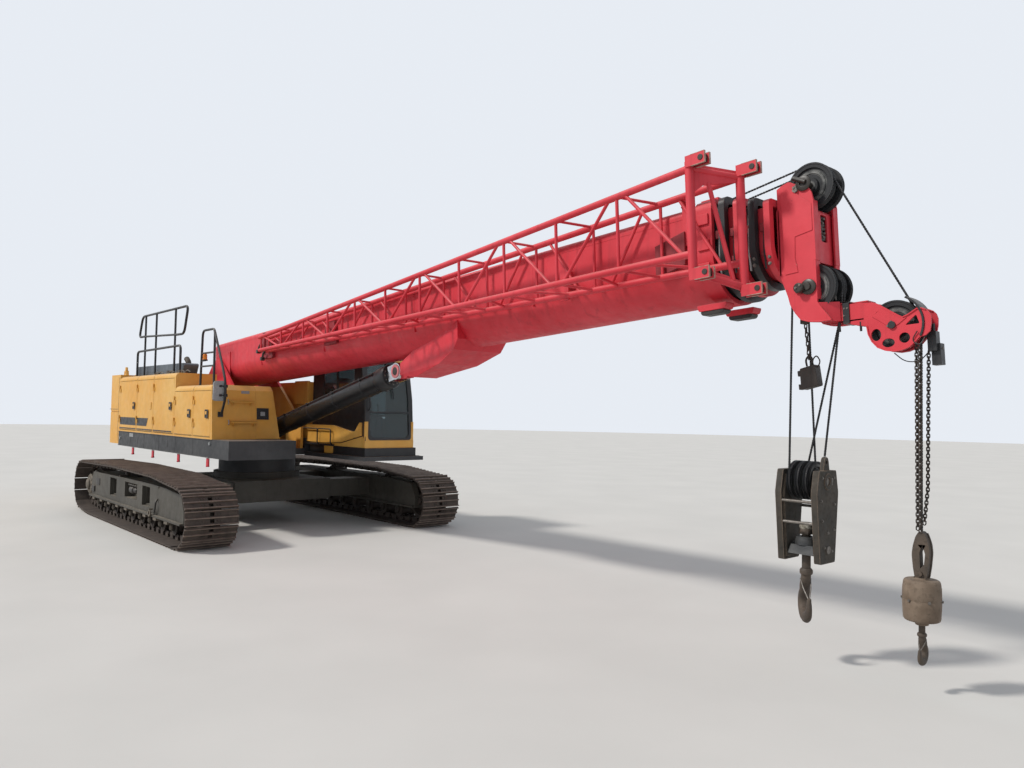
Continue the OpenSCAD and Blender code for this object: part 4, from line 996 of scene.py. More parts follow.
UPPER_SHEAVE, LOWER_SHEAVE, AUX_SHEAVE = (12.54, 0.52), (12.54, -0.39), (13.155, -0.787)
SHEAVE_RADIUS = 0.208
head_edge = on_head([(13, 528), (60, 552), (120, 570), (150, 562), (170, 547), (304, 482), (334, 430),
    (348, 358), (346, 0), (340, -455), (342, -500), (338, -526), (378, -590), (424, -650), (452, -692),
    (448, -703), (337, -703), (250, -690), (181, -665), (132, -600), (90, -520), (74, -447), (40, -345),
    (8, -251)])
bm = bmesh.new()
for low, high in mirrored(0.2, 0.22):
    add_prism(bm, head_edge, low, high)
for low, high in mirrored(0.222, 0.226):
    add_prism(bm, on_head([(330, 330), (330, 96), (168, 70), (160, -110), (182, -245), (60, -250),
        (52, 330), (36, 470), (120, 520)]), low, high)
for low, high in mirrored(0.14, 0.221):
    add_box(bm, (HEAD_START + 0.33, low, -0.165), (HEAD_START + 0.347, high, 0.36))
    add_box(bm, (HEAD_START + 0.326, low, -0.5), (HEAD_START + 0.343, high, -0.165))
for low, high in mirrored(0.172, 0.221):
    add_strip(bm, on_head([(8, -251), (40, -345), (74, -447), (90, -520), (132, -600), (181, -665),
        (250, -690), (337, -703), (448, -703)]), -0.012, low, high)
add_box(bm, (HEAD_START, -0.22, -0.25), (HEAD_START + 0.025, 0.22, 0.34))
slot = rounded_outline(rectangle(-0.035, 0.03, 0.075, 0.27), 0.02)
add_plate(bm, rectangle(-0.2, -0.165, 0.2, 0.3), [slot], HEAD_START + 0.296, HEAD_START + 0.314, "x")
add_box(bm, (HEAD_START + 0.2, -0.2, -0.165), (HEAD_START + 0.3, 0.2, -0.15))
add_box(bm, (HEAD_START + 0.1, -0.2, 0.285), (HEAD_START + 0.314, 0.2, 0.3))
head = finish_piece(bm, "head_plates", "section_5", paint_red, 0.003, 2, move=on_boom)
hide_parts("boom_head")
print("head plates made")

# %% [markdown]
# A sheave is turned, so half of its section is written once and mirrored. Each vertex keeps its
# distance from the pin, and the finish turns that into the pale and dark rings of the lathe.

# %% Sheaves with grooves and machined rings


def sheave_profile(radius, width=0.05, bore=0.03):
    w = width / 2
    half = [(radius, w), (radius - 0.014, w), (radius - 0.018, w - 0.003), (radius - 0.044, w - 0.004),
        (radius - 0.05, 0.01), (radius * 0.66, 0.009), (radius * 0.64, 0.015), (radius * 0.55, 0.015),
        (radius * 0.53, 0.009), (bore + 0.046, 0.009), (bore + 0.04, w + 0.003), (bore, w + 0.003)]
    deep = radius - 0.024
    groove = [(radius, -w), (deep + 0.008, -0.0125), (deep + 0.002, -0.008), (deep, 0.0),
        (deep + 0.002, 0.008), (deep + 0.008, 0.0125)]
    return groove + half + [(r, -h) for r, h in reversed(half)][:-1]


def sheave_paint():
    """Dark iron with pale rings where the web was turned, told by the distance from the pin."""
    material, tree, shader = new_material("sheave_rings")
    place = object_place(tree)
    ring = add_node(tree, "ShaderNodeAttribute", attribute_name="ring")
    waves = add_node(tree, "ShaderNodeMath", operation="SINE")
    link(tree, times(tree, ring.outputs["Fac"], 62.0), waves.inputs[0])
    pale = times(tree, ramp(tree, waves.outputs[0], 0.1, 0.8), blotches(tree, place, 0.08, 5.0, 0.3, 0.6))
    tone = blend_colour(tree, pale, (0.02, 0.021, 0.023, 1), (0.19, 0.19, 0.18, 1))
    link(tree, tone, shader.inputs["Base Color"])
    link(tree, blotches(tree, place, 0.05, 5.0, 0.3, 0.7, 0.35, 0.65), shader.inputs["Roughness"])
    shader.inputs["Metallic"].default_value = 0.35
    add_bump(tree, shader, place, 0.25, 0.003, 0.015, 5.0)
    return material


def add_ring_values(bm, centres):
    """Each vertex keeps its distance from the nearest pin, in metres."""
    layer = bm.verts.layers.float.new("ring")
    for vert in bm.verts:
        vert[layer] = min(math.hypot(vert.co.x - x, vert.co.z - z) for x, z in centres)


sheave_rings = sheave_paint()
LOWER_GROOVES = (-0.14, -0.022, 0.022, 0.14)
bm = bmesh.new()
for y in (-0.08, 0.08):
    add_ring(bm, sheave_profile(SHEAVE_RADIUS, 0.056), (UPPER_SHEAVE[0], y, UPPER_SHEAVE[1]), steps=80)
for y in LOWER_GROOVES:
    add_ring(bm, sheave_profile(SHEAVE_RADIUS, 0.042), (LOWER_SHEAVE[0], y, LOWER_SHEAVE[1]), steps=80)
add_ring(bm, sheave_profile(SHEAVE_RADIUS, 0.05), (AUX_SHEAVE[0], 0, AUX_SHEAVE[1]), steps=80)
add_ring_values(bm, (UPPER_SHEAVE, LOWER_SHEAVE, AUX_SHEAVE))
sheaves = finish_piece(bm, "turned_sheaves", "section_5", sheave_rings, 0.0, 1, 32, move=on_boom)
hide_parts("head_sheaves")
print("sheaves turned")

# %% [markdown]
# The pins end in collars and keeper plates with bolts, and old grease has packed the space
# between the sheaves. Small discs set off their line give that packing its lumps.

# %% Pins, keepers and the greasy packing in the head
grease = old_paint("grease", (0.012, 0.011, 0.01, 1), (0.045, 0.036, 0.028, 1), (0.1, 0.075, 0.055, 1),
    dust=0.2, streaks=0.1, rough=0.3)
bm = bmesh.new()
for (x, z), reach in ((UPPER_SHEAVE, 0.232), (LOWER_SHEAVE, 0.262)):
    add_disc(bm, (x, 0, z), 0.03, reach * 2, steps=28)
    for side in (-1, 1):
        add_ring(bm, [(0.03, 0.222), (0.068, 0.222), (0.068, 0.236), (0.052, 0.244), (0.03, 0.244)],
            (x, 0, z), (0, side, 0), 32)
for side in (-1, 1):
    add_tube(bm, [(12.455, side * 0.24, 0.583), (12.57, side * 0.246, 0.52)], 0.021)
    add_box(bm, (12.425, side * 0.222, -0.43), (12.49, side * 0.24, -0.37))
    add_ring(bm, [(0, 0.222), (0.044, 0.222), (0.044, 0.285), (0.036, 0.294), (0, 0.294)],
        (12.475, 0, -0.395), (0, side, 0), 24)
for y in (-0.045, 0.045):
    add_disc(bm, (12.54, y, -0.39), 0.055, 0.008, steps=24)
add_box(bm, (12.3, -0.198, -0.12), (12.5, 0.198, 0.27))
add_box(bm, (12.36, -0.12, 0.3), (12.46, 0.12, 0.33))
for i in range(7):
    z = 0.055 + i * 0.032
    add_disc(bm, (12.558, 0.02 + 0.012 * math.sin(i * 2.4), z), 0.017, 0.075,
        (0, 1, 0.25 * math.cos(i * 1.9)), 9)
finish_piece(bm, "head_pins_and_packing", "section_5", grease, 0.003, 2, move=on_boom)

bm = bmesh.new()
for side in (-1, 1):
    for place in ((12.475, 0.565), (12.515, 0.543), (12.452, 0.5), (12.474, 0.47)):
        add_bolt(bm, (place[0], side * 0.232, place[1]), (0, side, 0), 0.011)
    add_prism(bm, [(12.435, 0.475), (12.46, 0.455), (12.49, 0.5), (12.468, 0.525)], side * 0.226,
        side * 0.236)
    for dx, dz in ((-0.03, 0.0), (0.035, 0.02)):
        add_bolt(bm, (12.475 + dx * 0.6, side * 0.294, -0.395 + dz), (0, side, 0), 0.01)
for i in range(5):
    add_disc(bm, (12.572, 0.005 + 0.028 * math.sin(i * 2.1), 0.07 + i * 0.042), 0.011, 0.028,
        (1, 0.3 * math.sin(i), 0.2), 7)
add_tube(bm, at_y(-0.05, (12.64, -0.51), (12.645, -0.463), (12.665, -0.444), (12.685, -0.463),
    (12.69, -0.51)), 0.009, 0.03)
finish_piece(bm, "head_bolts", "section_5", bolt_steel, move=on_boom)
print("boom head made")

# %% [markdown]
# Without rope in their grooves the sheaves would look unused. Each rope is one tube with six
# lobes, twisted along its path, so that its strands catch the light.

# %% Rope that fills the grooves
ROPE = 0.0105
ROPE_START, BASE_MOUTH = 2.2, 11.75
STRANDS, LAY = 6, 46.0


def add_rope(bm, points, bend=0.0, radius=ROPE, sides=12, ring_every=0.022):
    """A wire rope: a six-lobed round, twisted along its line."""
    line = rounded_path(points, bend, 12)
    fine = [line[0]]
    for a, b in zip(line, line[1:]):
        parts = max(1, math.ceil((b - a).length / ring_every))
        fine += [a.lerp(b, k / parts) for k in range(1, parts + 1)]
    add_tube(bm, fine, radius, 0, sides, LAY, STRANDS, 0.24)


def rope_turn(x, y, z, radius, start=0.0, sweep=2 * math.pi, count=72):
    return [(x + radius * math.cos(start + sweep * i / count), y,
        z + radius * math.sin(start + sweep * i / count)) for i in range(count + 1)]


GROOVE = SHEAVE_RADIUS - 0.024 + ROPE
bm = bmesh.new()
for y in LOWER_GROOVES:
    add_rope(bm, rope_turn(LOWER_SHEAVE[0], y, LOWER_SHEAVE[1], GROOVE), ring_every=0.03)
add_rope(bm, rope_turn(AUX_SHEAVE[0], 0, AUX_SHEAVE[1], GROOVE), ring_every=0.03)
for y in (-0.08, 0.08):
    back = math.radians(97)
    wrap = rope_turn(UPPER_SHEAVE[0], y, UPPER_SHEAVE[1], GROOVE, back, -math.radians(150), 44)
    run = [(ROPE_START, y, 0.585), (BASE_MOUTH, y, 0.612)]
    add_rope(bm, run + wrap, ring_every=0.03)
# One part runs on from the front of the upper sheave to the sheave at the arm's end
leave = math.radians(36)
top = (UPPER_SHEAVE[0] + GROOVE * math.cos(leave), UPPER_SHEAVE[1] + GROOVE * math.sin(leave))
land = (AUX_SHEAVE[0] + GROOVE * math.cos(leave), AUX_SHEAVE[1] + GROOVE * math.sin(leave))
add_rope(bm, [(top[0], -0.08, top[1]), (land[0], 0, land[1])], ring_every=0.025)
finish_piece(bm, "ropes_on_the_head", "section_5", rope_steel, 0.0, 1, 60, move=on_boom)

print("ropes laid over the head")

# %% [markdown]
# The light hoist has its own arm in front of the head: two thin plates with lightening holes hold
# one more sheave. The sheave's guard, the switch box with its cable and the black strap round the
# arm are small, but they are what tells this arm from a plain bracket.

# %% Arm for the light hoist
arm_edge = on_head([(300, -526), (470, -545), (733, -579), (766, -591), (796, -610), (860, -655),
    (930, -706), (968, -730), (1010, -716), (1060, -688), (1081, -676), (1120, -678), (1150, -695),
    (1172, -722), (1183, -759), (1180, -815), (1167, -871), (1135, -898), (1090, -909), (1055, -945),
    (1010, -980), (950, -1000), (885, -1004), (820, -990), (760, -960), (715, -905), (688, -840),
    (679, -771), (560, -742), (448, -703), (300, -700)])


def hole(x, z, wide, tall=None, count=20):
    tall = tall or wide
    return [(HEAD_START + x / 1000 + wide * math.cos(a), z / 1000 + tall * math.sin(a))
        for a in (2 * math.pi * i / count for i in range(count))]


arm_holes = [hole(790, -697, 0.038), hole(754, -853, 0.04, 0.05), hole(848, -928, 0.05, 0.036),
    hole(975, -900, 0.042), rounded_outline(on_head([(985, -800), (1095, -800), (1072, -725)]), 0.012)]
bm = bmesh.new()
for low, high in mirrored(0.063, 0.077):
    add_plate(bm, arm_edge, arm_holes, low, high)
for low, high in mirrored(0.05, 0.086):
    add_strip(bm, on_head([(679, -771), (688, -840), (715, -905), (760, -960), (820, -990), (885, -1004),
        (950, -1000), (1010, -980), (1055, -945), (1090, -909)]), -0.01, low, high)
    add_strip(bm, on_head([(968, -730), (1010, -716), (1060, -688), (1081, -676), (1120, -678),
        (1150, -695)]), 0.009, low, high)
add_box(bm, (HEAD_START + 0.475, -0.077, -0.556), (HEAD_START + 0.7, 0.077, -0.566))
add_box(bm, (HEAD_START + 0.475, -0.077, -0.7), (HEAD_START + 0.66, 0.077, -0.712))
for side in (-1, 1):
    wing = [(HEAD_START + 0.335, side * 0.205), (HEAD_START + 0.35, side * 0.212),
        (HEAD_START + 0.472, side * 0.088), (HEAD_START + 0.462, side * 0.076)]
    add_prism(bm, wing, -0.698, -0.534, "z")
    add_prism(bm, on_head([(730, -700), (812, -640), (900, -705), (960, -745), (1000, -740), (930, -790),
        (860, -800), (800, -750)]), side * 0.078, side * 0.083)
arm = finish_piece(bm, "light_hoist_arm", "section_5", paint_red, 0.002, 2, move=on_boom)
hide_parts("aux_arm")

bm = bmesh.new()
add_disc(bm, (AUX_SHEAVE[0], 0, AUX_SHEAVE[1]), 0.03, 0.19, steps=24)
for low, high in mirrored(0.078, 0.088):
    add_box(bm, (HEAD_START + 0.49, low, -0.716), (HEAD_START + 0.545, high, -0.54))
add_box(bm, (HEAD_START + 0.49, -0.088, -0.552), (HEAD_START + 0.545, 0.088, -0.54))
add_box(bm, (HEAD_START + 0.49, -0.088, -0.728), (HEAD_START + 0.545, 0.088, -0.716))
guard = [(AUX_SHEAVE[0] + 0.232 * math.cos(a), AUX_SHEAVE[1] + 0.232 * math.sin(a))
    for a in (math.radians(62 - 9 * i) for i in range(11))]
add_strip(bm, guard, -0.016, -0.088, 0.088)
for place in ((0.45, -0.74), (0.63, -0.755)):
    add_tube(bm, [(HEAD_START + place[0], -0.07, place[1] + 0.03),
        (HEAD_START + place[0], -0.07, place[1] - 0.05)], 0.01)
add_box(bm, (13.385, 0.0, -1.02), (13.452, 0.078, -0.865))
add_box(bm, (13.4, 0.03, -1.13), (13.47, 0.112, -0.96))
add_tube(bm, [(13.425, 0.035, -0.8), (13.425, 0.035, -1.04)], 0.012, 0, 8)
add_tube(bm, [(13.4, 0.03, -1.0), (13.3, 0.06, -1.09), (13.18, 0.07, -1.08), (13.1, 0.07, -1.0)], 0.0045,
    0.12, 8)
add_tube(bm, [(13.41, -0.05, -0.88), (13.36, -0.09, -0.98), (13.3, -0.085, -0.93), (13.35, -0.09, -0.86)],
    0.0045, 0.08, 8)
finish_piece(bm, "arm_strap_guard_and_switch", "section_5", paint_black, 0.002, 2, move=on_boom)

bm = bmesh.new()
for side in (-1, 1):
    for angle in (80, 200, 320):
        spot = (AUX_SHEAVE[0] - 0.01 + 0.024 * math.cos(math.radians(angle)), side * 0.083,
            AUX_SHEAVE[1] + 0.004 + 0.024 * math.sin(math.radians(angle)))
        add_bolt(bm, spot, (0, side, 0), 0.008)
    for x, z in ((0.505, -0.6), (0.53, -0.6), (0.5, -0.66)):
        add_bolt(bm, (HEAD_START + x, side * 0.088, z), (0, side, 0), 0.007)
add_bolt(bm, (13.41, 0.112, -1.0), (0, 1, 0), 0.008)
add_bolt(bm, (13.47, 0.07, -1.0), (1, 0, 0), 0.008)
finish_piece(bm, "arm_bolts", "section_5", bolt_steel, move=on_boom)
print("light hoist's arm made")

# %% [markdown]
# The falls hang between the head and the block. A wire rope is six strands laid round a core, so
# each rope here is a six-lobed round that turns as it runs. The block's two thick cheeks, tie
# bars and the greasy nut are bare rusty iron, which is why their edges are paler than their faces.

# %% Ropes of the main fall
MAIN_PIN, AUX_PIN = Vector((11.642, 0, 3.2606)), Vector((12.278, 0, 2.8986))
BLOCK_X, BLOCK_Z, HOOK_Z = 11.512, 1.5906, 0.5206
BLOCK_SHEAVE = 0.17
BLOCK_GROOVE = BLOCK_SHEAVE - 0.02 + ROPE
CHEEK = 0.165
BLOCK_SHEAVES = (-0.075, 0.0, 0.075)
bm = bmesh.new()
falls = [((-GROOVE, -0.14), (-0.075, -BLOCK_GROOVE, 0)), ((GROOVE, 0.022), (-0.075, BLOCK_GROOVE, 0)),
    ((GROOVE, -0.022), (CHEEK, 0.0, 0.215)), ((-GROOVE, 0.14), (0.0, BLOCK_GROOVE, 0))]
for (dx, y), (ex, ey, ez) in falls:
    start = MAIN_PIN + Vector((dx, y, 0))
    end = Vector((BLOCK_X + ex, ey, BLOCK_Z + ez))
    down = Vector((0, 0, -0.11))
    if ez > 0:
        add_rope(bm, [start, start + down, end], 0.05)
    else:
        add_rope(bm, [start, start + down, end - down, end], 0.05)
for x in BLOCK_SHEAVES:
    ring = [(BLOCK_X + x, BLOCK_GROOVE * math.cos(a), BLOCK_Z + BLOCK_GROOVE * math.sin(a))
        for a in (2 * math.pi * k / 60 for k in range(61))]
    add_rope(bm, ring, ring_every=0.03)
ropes = finish_piece(bm, "main_fall_ropes", "main_fall", rope_steel, 0.0, 1, 60)
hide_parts("main_ropes")
print("falls:", len(falls))

# %% [markdown]
# The block is two thick cheeks on a pin, tied by bars and bolts, with three sheaves between. The
# cheeks narrow downwards to the trunnion that carries the hook.

# %% Main block
cheek_edge = [(-0.15, 0.095), (0.15, 0.095), (0.19, -0.1), (0.13, -0.7), (-0.13, -0.7), (-0.19, -0.1)]
bm = bmesh.new()
for side in (-1, 1):
    near, far = BLOCK_X + side * 0.137, BLOCK_X + side * 0.195
    outline = [(y, BLOCK_Z + z) for y, z in rounded_outline(cheek_edge, 0.018, 3)]
    add_plate(bm, outline, [circle(0, BLOCK_Z, 0.034, 20)], near, far, "x")
    inner = [(y * 0.82, BLOCK_Z - 0.02 + (z - 0.02) * 0.9) for y, z in cheek_edge]
    add_prism(bm, inner, near - side * 0.014, near, "x")
    add_disc(bm, (BLOCK_X + side * 0.185, 0, BLOCK_Z), 0.033, 0.014, (1, 0, 0), 20)
    add_ring(bm, rectangle(0.035, 0.195, 0.07, 0.203), (BLOCK_X, 0, BLOCK_Z), (side, 0, 0), 28)
lug_x = BLOCK_X + CHEEK
add_plate(bm, [(-0.055, BLOCK_Z + 0.09), (0.055, BLOCK_Z + 0.09), (0.038, BLOCK_Z + 0.175),
    (0.024, BLOCK_Z + 0.203), (0.0, BLOCK_Z + 0.212), (-0.024, BLOCK_Z + 0.203), (-0.038, BLOCK_Z + 0.175)],
    [circle(0, BLOCK_Z + 0.165, 0.018, 16)], lug_x - 0.018, lug_x + 0.018, "x")
block = finish_piece(bm, "block_cheeks", "main_fall", cheek_iron, 0.004, 2, 30)
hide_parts("main_block")

bm = bmesh.new()
add_disc(bm, (BLOCK_X, 0, BLOCK_Z), 0.03, 0.385, (1, 0, 0), 20)
for y, z in ((-0.168, -0.175), (-0.148, -0.36), (0.155, -0.24)):
    add_disc(bm, (BLOCK_X, y, BLOCK_Z + z), 0.013, 0.275, (1, 0, 0), 12)
for side in (-1, 1):
    for y, z in ((-0.1, 0.035), (0.105, 0.03), (-0.12, -0.16), (0.12, -0.2), (-0.1, -0.33), (0.11, -0.42),
            (-0.065, -0.56), (0.07, -0.6), (0.0, -0.44)):
        add_bolt(bm, (BLOCK_X + side * 0.195, y, BLOCK_Z + z), (side, 0, 0), 0.011)
    add_disc(bm, (BLOCK_X + side * 0.2, 0.0, BLOCK_Z - 0.585), 0.034, 0.012, (1, 0, 0), 20)
    add_box(bm, (BLOCK_X + side * 0.194, 0.052, BLOCK_Z - 0.03),
        (BLOCK_X + side * 0.205, 0.072, BLOCK_Z + 0.03))
finish_piece(bm, "block_pins_and_ties", "main_fall", bolt_steel, 0.0015)

bm = bmesh.new()
for x in BLOCK_SHEAVES:
    add_ring(bm, sheave_profile(BLOCK_SHEAVE, 0.05), (BLOCK_X + x, 0, BLOCK_Z), (1, 0, 0), 64)
ring_layer = bm.verts.layers.float.new("ring")
for vert in bm.verts:
    vert[ring_layer] = math.hypot(vert.co.y, vert.co.z - BLOCK_Z)
finish_piece(bm, "block_sheaves", "main_fall", sheave_rings, 0.0, 1, 32)

# The trunnion carries the nut on a bearing, under a whitish cap of grease
bm = bmesh.new()
add_plate(bm, rectangle(-0.12, -0.105, 0.12, 0.105), [circle(0, 0, 0.047, 24)], BLOCK_Z - 0.638,
    BLOCK_Z - 0.56, "z")
for vert in bm.verts:
    if vert.co.z > BLOCK_Z - 0.57 and max(abs(vert.co.x), abs(vert.co.y)) > 0.06:
        vert.co.x *= 0.84
        vert.co.y *= 0.8
bmesh.ops.translate(bm, vec=(BLOCK_X, 0, 0), verts=bm.verts)
add_ring(bm, [(0.048, -0.56), (0.098, -0.56), (0.088, -0.5), (0.076, -0.49), (0.048, -0.49)],
    (BLOCK_X, 0, BLOCK_Z), (0, 0, 1), 36)
for side in (-1, 1):
    add_disc(bm, (BLOCK_X + side * 0.125, 0, BLOCK_Z - 0.59), 0.042, 0.05, (1, 0, 0), 24)
finish_piece(bm, "hook_trunnion", "main_fall", sheave_iron, 0.004, 2)

print("main block made")

# %% [markdown]
# A small weight hangs on a chain round one fall. When the block lifts it, a switch stops the
# hoist. It tilts because the rope runs through it off its middle.

# %% Tilted weight of the upper limit, on its links
weight_black = old_paint("weight_black", (0.014, 0.011, 0.01, 1), (0.05, 0.032, 0.024, 1),
    (0.12, 0.075, 0.05, 1), dust=0.4, streaks=0.2, rough=0.5)
bm = bmesh.new()
tilt = placed((11.505, 0.075, 2.5), math.radians(-7), "Y")
box = rounded_outline([(-0.075, -0.105), (0.085, -0.085), (0.078, 0.105), (-0.068, 0.085)], 0.012, 2)
add_prism(bm, box, -0.05, 0.05)
add_prism(bm, [(-0.1, 0.02), (-0.06, 0.02), (-0.06, 0.075), (-0.1, 0.068)], -0.035, 0.035)
add_prism(bm, [(-0.105, -0.1), (-0.06, -0.1), (-0.06, -0.055), (-0.105, -0.05)], -0.03, 0.03)
bmesh.ops.transform(bm, matrix=tilt, verts=bm.verts)
finish_piece(bm, "limit_weight", "main_fall", weight_black, 0.004, 2)

bm = bmesh.new()
chain_top = Vector((11.46, 0.06, 3.02))
chain_end = Vector((11.495, 0.07, 2.665))
for i in range(9):
    at = chain_top.lerp(chain_end, (i + 0.5) / 9)
    wide = Vector((0.011, 0, 0)) if i % 2 else Vector((0, 0.011, 0))
    long = Vector((0, 0, 0.028))
    loop = [at - long, at - long * 0.6 + wide, at + long * 0.6 + wide, at + long, at + long * 0.6 - wide,
        at - long * 0.6 - wide, at - long]
    add_tube(bm, loop, 0.0055, 0.014, 7)
add_tube(bm, at_y(0.07, (11.475, 2.6), (11.462, 2.66), (11.495, 2.7), (11.53, 2.66), (11.518, 2.6)), 0.009,
    0.03)
add_tube(bm, at_y(0.075, (11.54, 2.59), (11.52, 2.65), (11.56, 2.7), (11.6, 2.64), (11.57, 2.585)), 0.006,
    0.03, 8)
add_box(bm, (11.43, 0.03, 2.98), (11.49, 0.09, 3.09))
finish_piece(bm, "limit_chain", "main_fall", rust_dark, 0.001, 1, 40)
print("main fall made")

# %% [markdown]
# A forged hook is thick at the back of its bowl and thins towards the tip, and its section is
# wider inside than outside. The hooks are therefore lofted: each ring of points along the curve
# has its own depth and thickness.

# %% Lofted shapes


def add_loft(bm, stations, normal=(0, 1, 0), sides=20):
    """Rings along a flat curve. A station is (point, depth in the plane, thickness across it, taper)."""
    normal = Vector(normal)
    rings = []
    for i, (place, depth, thick, taper) in enumerate(stations):
        before = Vector(stations[max(i - 1, 0)][0])
        after = Vector(stations[min(i + 1, len(stations) - 1)][0])
        way = (after - before).normalized()
        out = way.cross(normal).normalized()
        ring = []
        for k in range(sides):
            angle = 2 * math.pi * k / sides
            c, s = math.cos(angle), math.sin(angle)
            flat = math.copysign(abs(s) ** 0.8, s) * (1 - taper * c)
            ring.append(bm.verts.new(Vector(place) + out * depth * math.copysign(abs(c) ** 0.85,
                c) + normal * thick * flat))
        rings.append(ring)
    close_rings(bm, rings, sides)


def hook_stations(bowl, thick, top):
    """From the shank down the back, round the bowl and up to the blunt tip."""
    made = [((0, 0, top), thick * 0.8, thick * 0.8, 0.0),
        ((0, 0, bowl * 2.25), thick * 0.82, thick * 0.82, 0.0),
        ((bowl * 0.05, 0, bowl * 2.05), thick * 0.95, thick * 0.9, 0.0),
        ((bowl * 0.25, 0, bowl * 1.65), thick * 1.05, thick * 0.92, 0.05),
        ((bowl * 0.5, 0, bowl * 1.22), thick * 1.1, thick * 0.95, 0.15)]
    for i in range(19):
        angle = 52 - i * 247 / 18
        share = i / 18
        swell = math.sin(math.pi * min(share / 0.78, 1.0)) ** 0.7 if share < 0.78 else 0.0
        depth = thick * (1.02 + 0.28 * swell) * (1 - 0.5 * max(0.0, share - 0.55) / 0.45)
        across = thick * (0.95 + 0.1 * swell) * (1 - 0.55 * max(0.0, share - 0.5) / 0.5)
        a = math.radians(angle)
        made.append(((bowl * math.cos(a), 0, bowl * math.sin(a)), depth, across, 0.22))
    a = math.radians(52 - 247)
    tip = Vector((bowl * math.cos(a), 0, bowl * math.sin(a)))
    made.append((tuple(tip + Vector((-0.1, 0, 0.22)) * bowl), thick * 0.4, thick * 0.34, 0.1))
    made.append((tuple(tip + Vector((-0.13, 0, 0.3)) * bowl), thick * 0.18, thick * 0.16, 0.0))
    return made


print("loft ready")

# %% Both hooks


def make_hook(name, body, replaced, place, turn_degrees, bowl, thick, top, nut):
    bm = bmesh.new()
    add_loft(bm, hook_stations(bowl, thick, top), (0, 1, 0), 24)
    add_ring(bm, [(0, bowl * 2.12), (thick * 1.12, bowl * 2.12), (thick * 1.22, bowl * 2.22),
        (thick * 1.22, bowl * 2.42), (thick * 1.0, bowl * 2.55), (0, bowl * 2.55)], (0, 0, 0), (0, 0, 1),
        32)
    if nut:
        add_ring(bm, [(0, top - 0.02), (0.06, top - 0.02), (0.06, top + 0.022), (0.05, top + 0.03),
            (0, top + 0.03)], (0, 0, 0), (0, 0, 1), 6)
    move = placed(place, math.radians(turn_degrees), "Z")
    hook = finish_piece(bm, name, body, rust_brown, 0.0, 1, 50, move=move)
    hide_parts(replaced)
    bm = bmesh.new()
    hinge = Vector((bowl * 0.22, 0, bowl * 1.72))
    tip = Vector((-bowl * 0.86, 0, bowl * 0.5))
    for side in (-1, 1):
        add_tube(bm, [hinge + Vector((0, side * thick * 0.95, 0)),
            (hinge + tip) / 2 + Vector((0, side * thick * 0.7, 0)),
            tip + Vector((0, side * thick * 0.15, 0))], thick * 0.11, 0.02, 8)
    add_disc(bm, hinge, thick * 0.16, thick * 2.1, (0, 1, 0), 10)
    finish_piece(bm, name + "_latch", body, bolt_steel, 0.0, 1, 40, move=move)


make_hook("forged_main_hook", "main_hook", "main_hook", (BLOCK_X, 0, HOOK_Z), 130, 0.118, 0.045,
    BLOCK_Z - 0.45 - HOOK_Z, True)
AUX_X, WEIGHT_Z, WEIGHT_TOP, AUX_HOOK_Z = AUX_PIN.x + GROOVE, 0.5686, 1.2586, 0.3136
make_hook("forged_light_hook", "aux_hook", "aux_hook", (AUX_X, 0, AUX_HOOK_Z), 95, 0.062, 0.029,
    WEIGHT_Z + 0.05 - AUX_HOOK_Z, False)
bm = bmesh.new()
add_ring(bm, [(0.0, 0.0), (0.052, 0.0), (0.06, 0.02), (0.052, 0.055), (0.0, 0.06)],
    (BLOCK_X, 0, BLOCK_Z - 0.425), (0, 0, 1), 18)
finish_piece(bm, "grease_cap", "main_hook",
    raw_metal("old_grease", (0.42, 0.4, 0.34, 1), (0.14, 0.12, 0.09, 1), 0.0, 0.6, 0.008, 0.03, 0.004),
    0.003)

print("hooks forged")

# %% [markdown]
# The light rope ends in a wedge socket on a turned iron drum that keeps it taut, and three chains
# hang beside it. A chain is a pair of links, one upright and one flat, repeated along a line.

# %% Light hoist: rope, socket, drum weight and chains
bm = bmesh.new()
add_rope(bm, [(AUX_X, 0, AUX_PIN.z), (AUX_X, 0, WEIGHT_TOP - 0.03)])
line = finish_piece(bm, "light_rope", "aux_fall", rope_steel, 0.0, 1, 60)
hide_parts("aux_line")

bm = bmesh.new()
drum = [(0, 0), (0.118, 0), (0.128, 0.006), (0.134, 0.018), (0.139, 0.1), (0.1405, 0.155), (0.138, 0.16),
    (0.138, 0.166), (0.1405, 0.171), (0.139, 0.25), (0.133, 0.298), (0.127, 0.311), (0.118, 0.318),
    (0.06, 0.32), (0.055, 0.332), (0, 0.332)]
add_ring(bm, drum, (AUX_X, 0, WEIGHT_Z), (0, 0, 1), 64)
add_ring(bm, [(0, -0.035), (0.046, -0.035), (0.052, -0.02), (0.052, 0.002), (0, 0.002)],
    (AUX_X, 0, WEIGHT_Z), (0, 0, 1), 24)
weight = finish_piece(bm, "drum_weight", "aux_fall", weight_iron, 0.002, 2)
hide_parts("aux_weight")
bm = bmesh.new()
for i in range(6):
    a = math.radians(60 * i + 12)
    add_bolt(bm, (AUX_X + 0.142 * math.cos(a), 0.142 * math.sin(a), WEIGHT_Z + 0.163),
        (math.cos(a), math.sin(a), 0), 0.01)
finish_piece(bm, "drum_bolts", "aux_fall", bolt_steel)

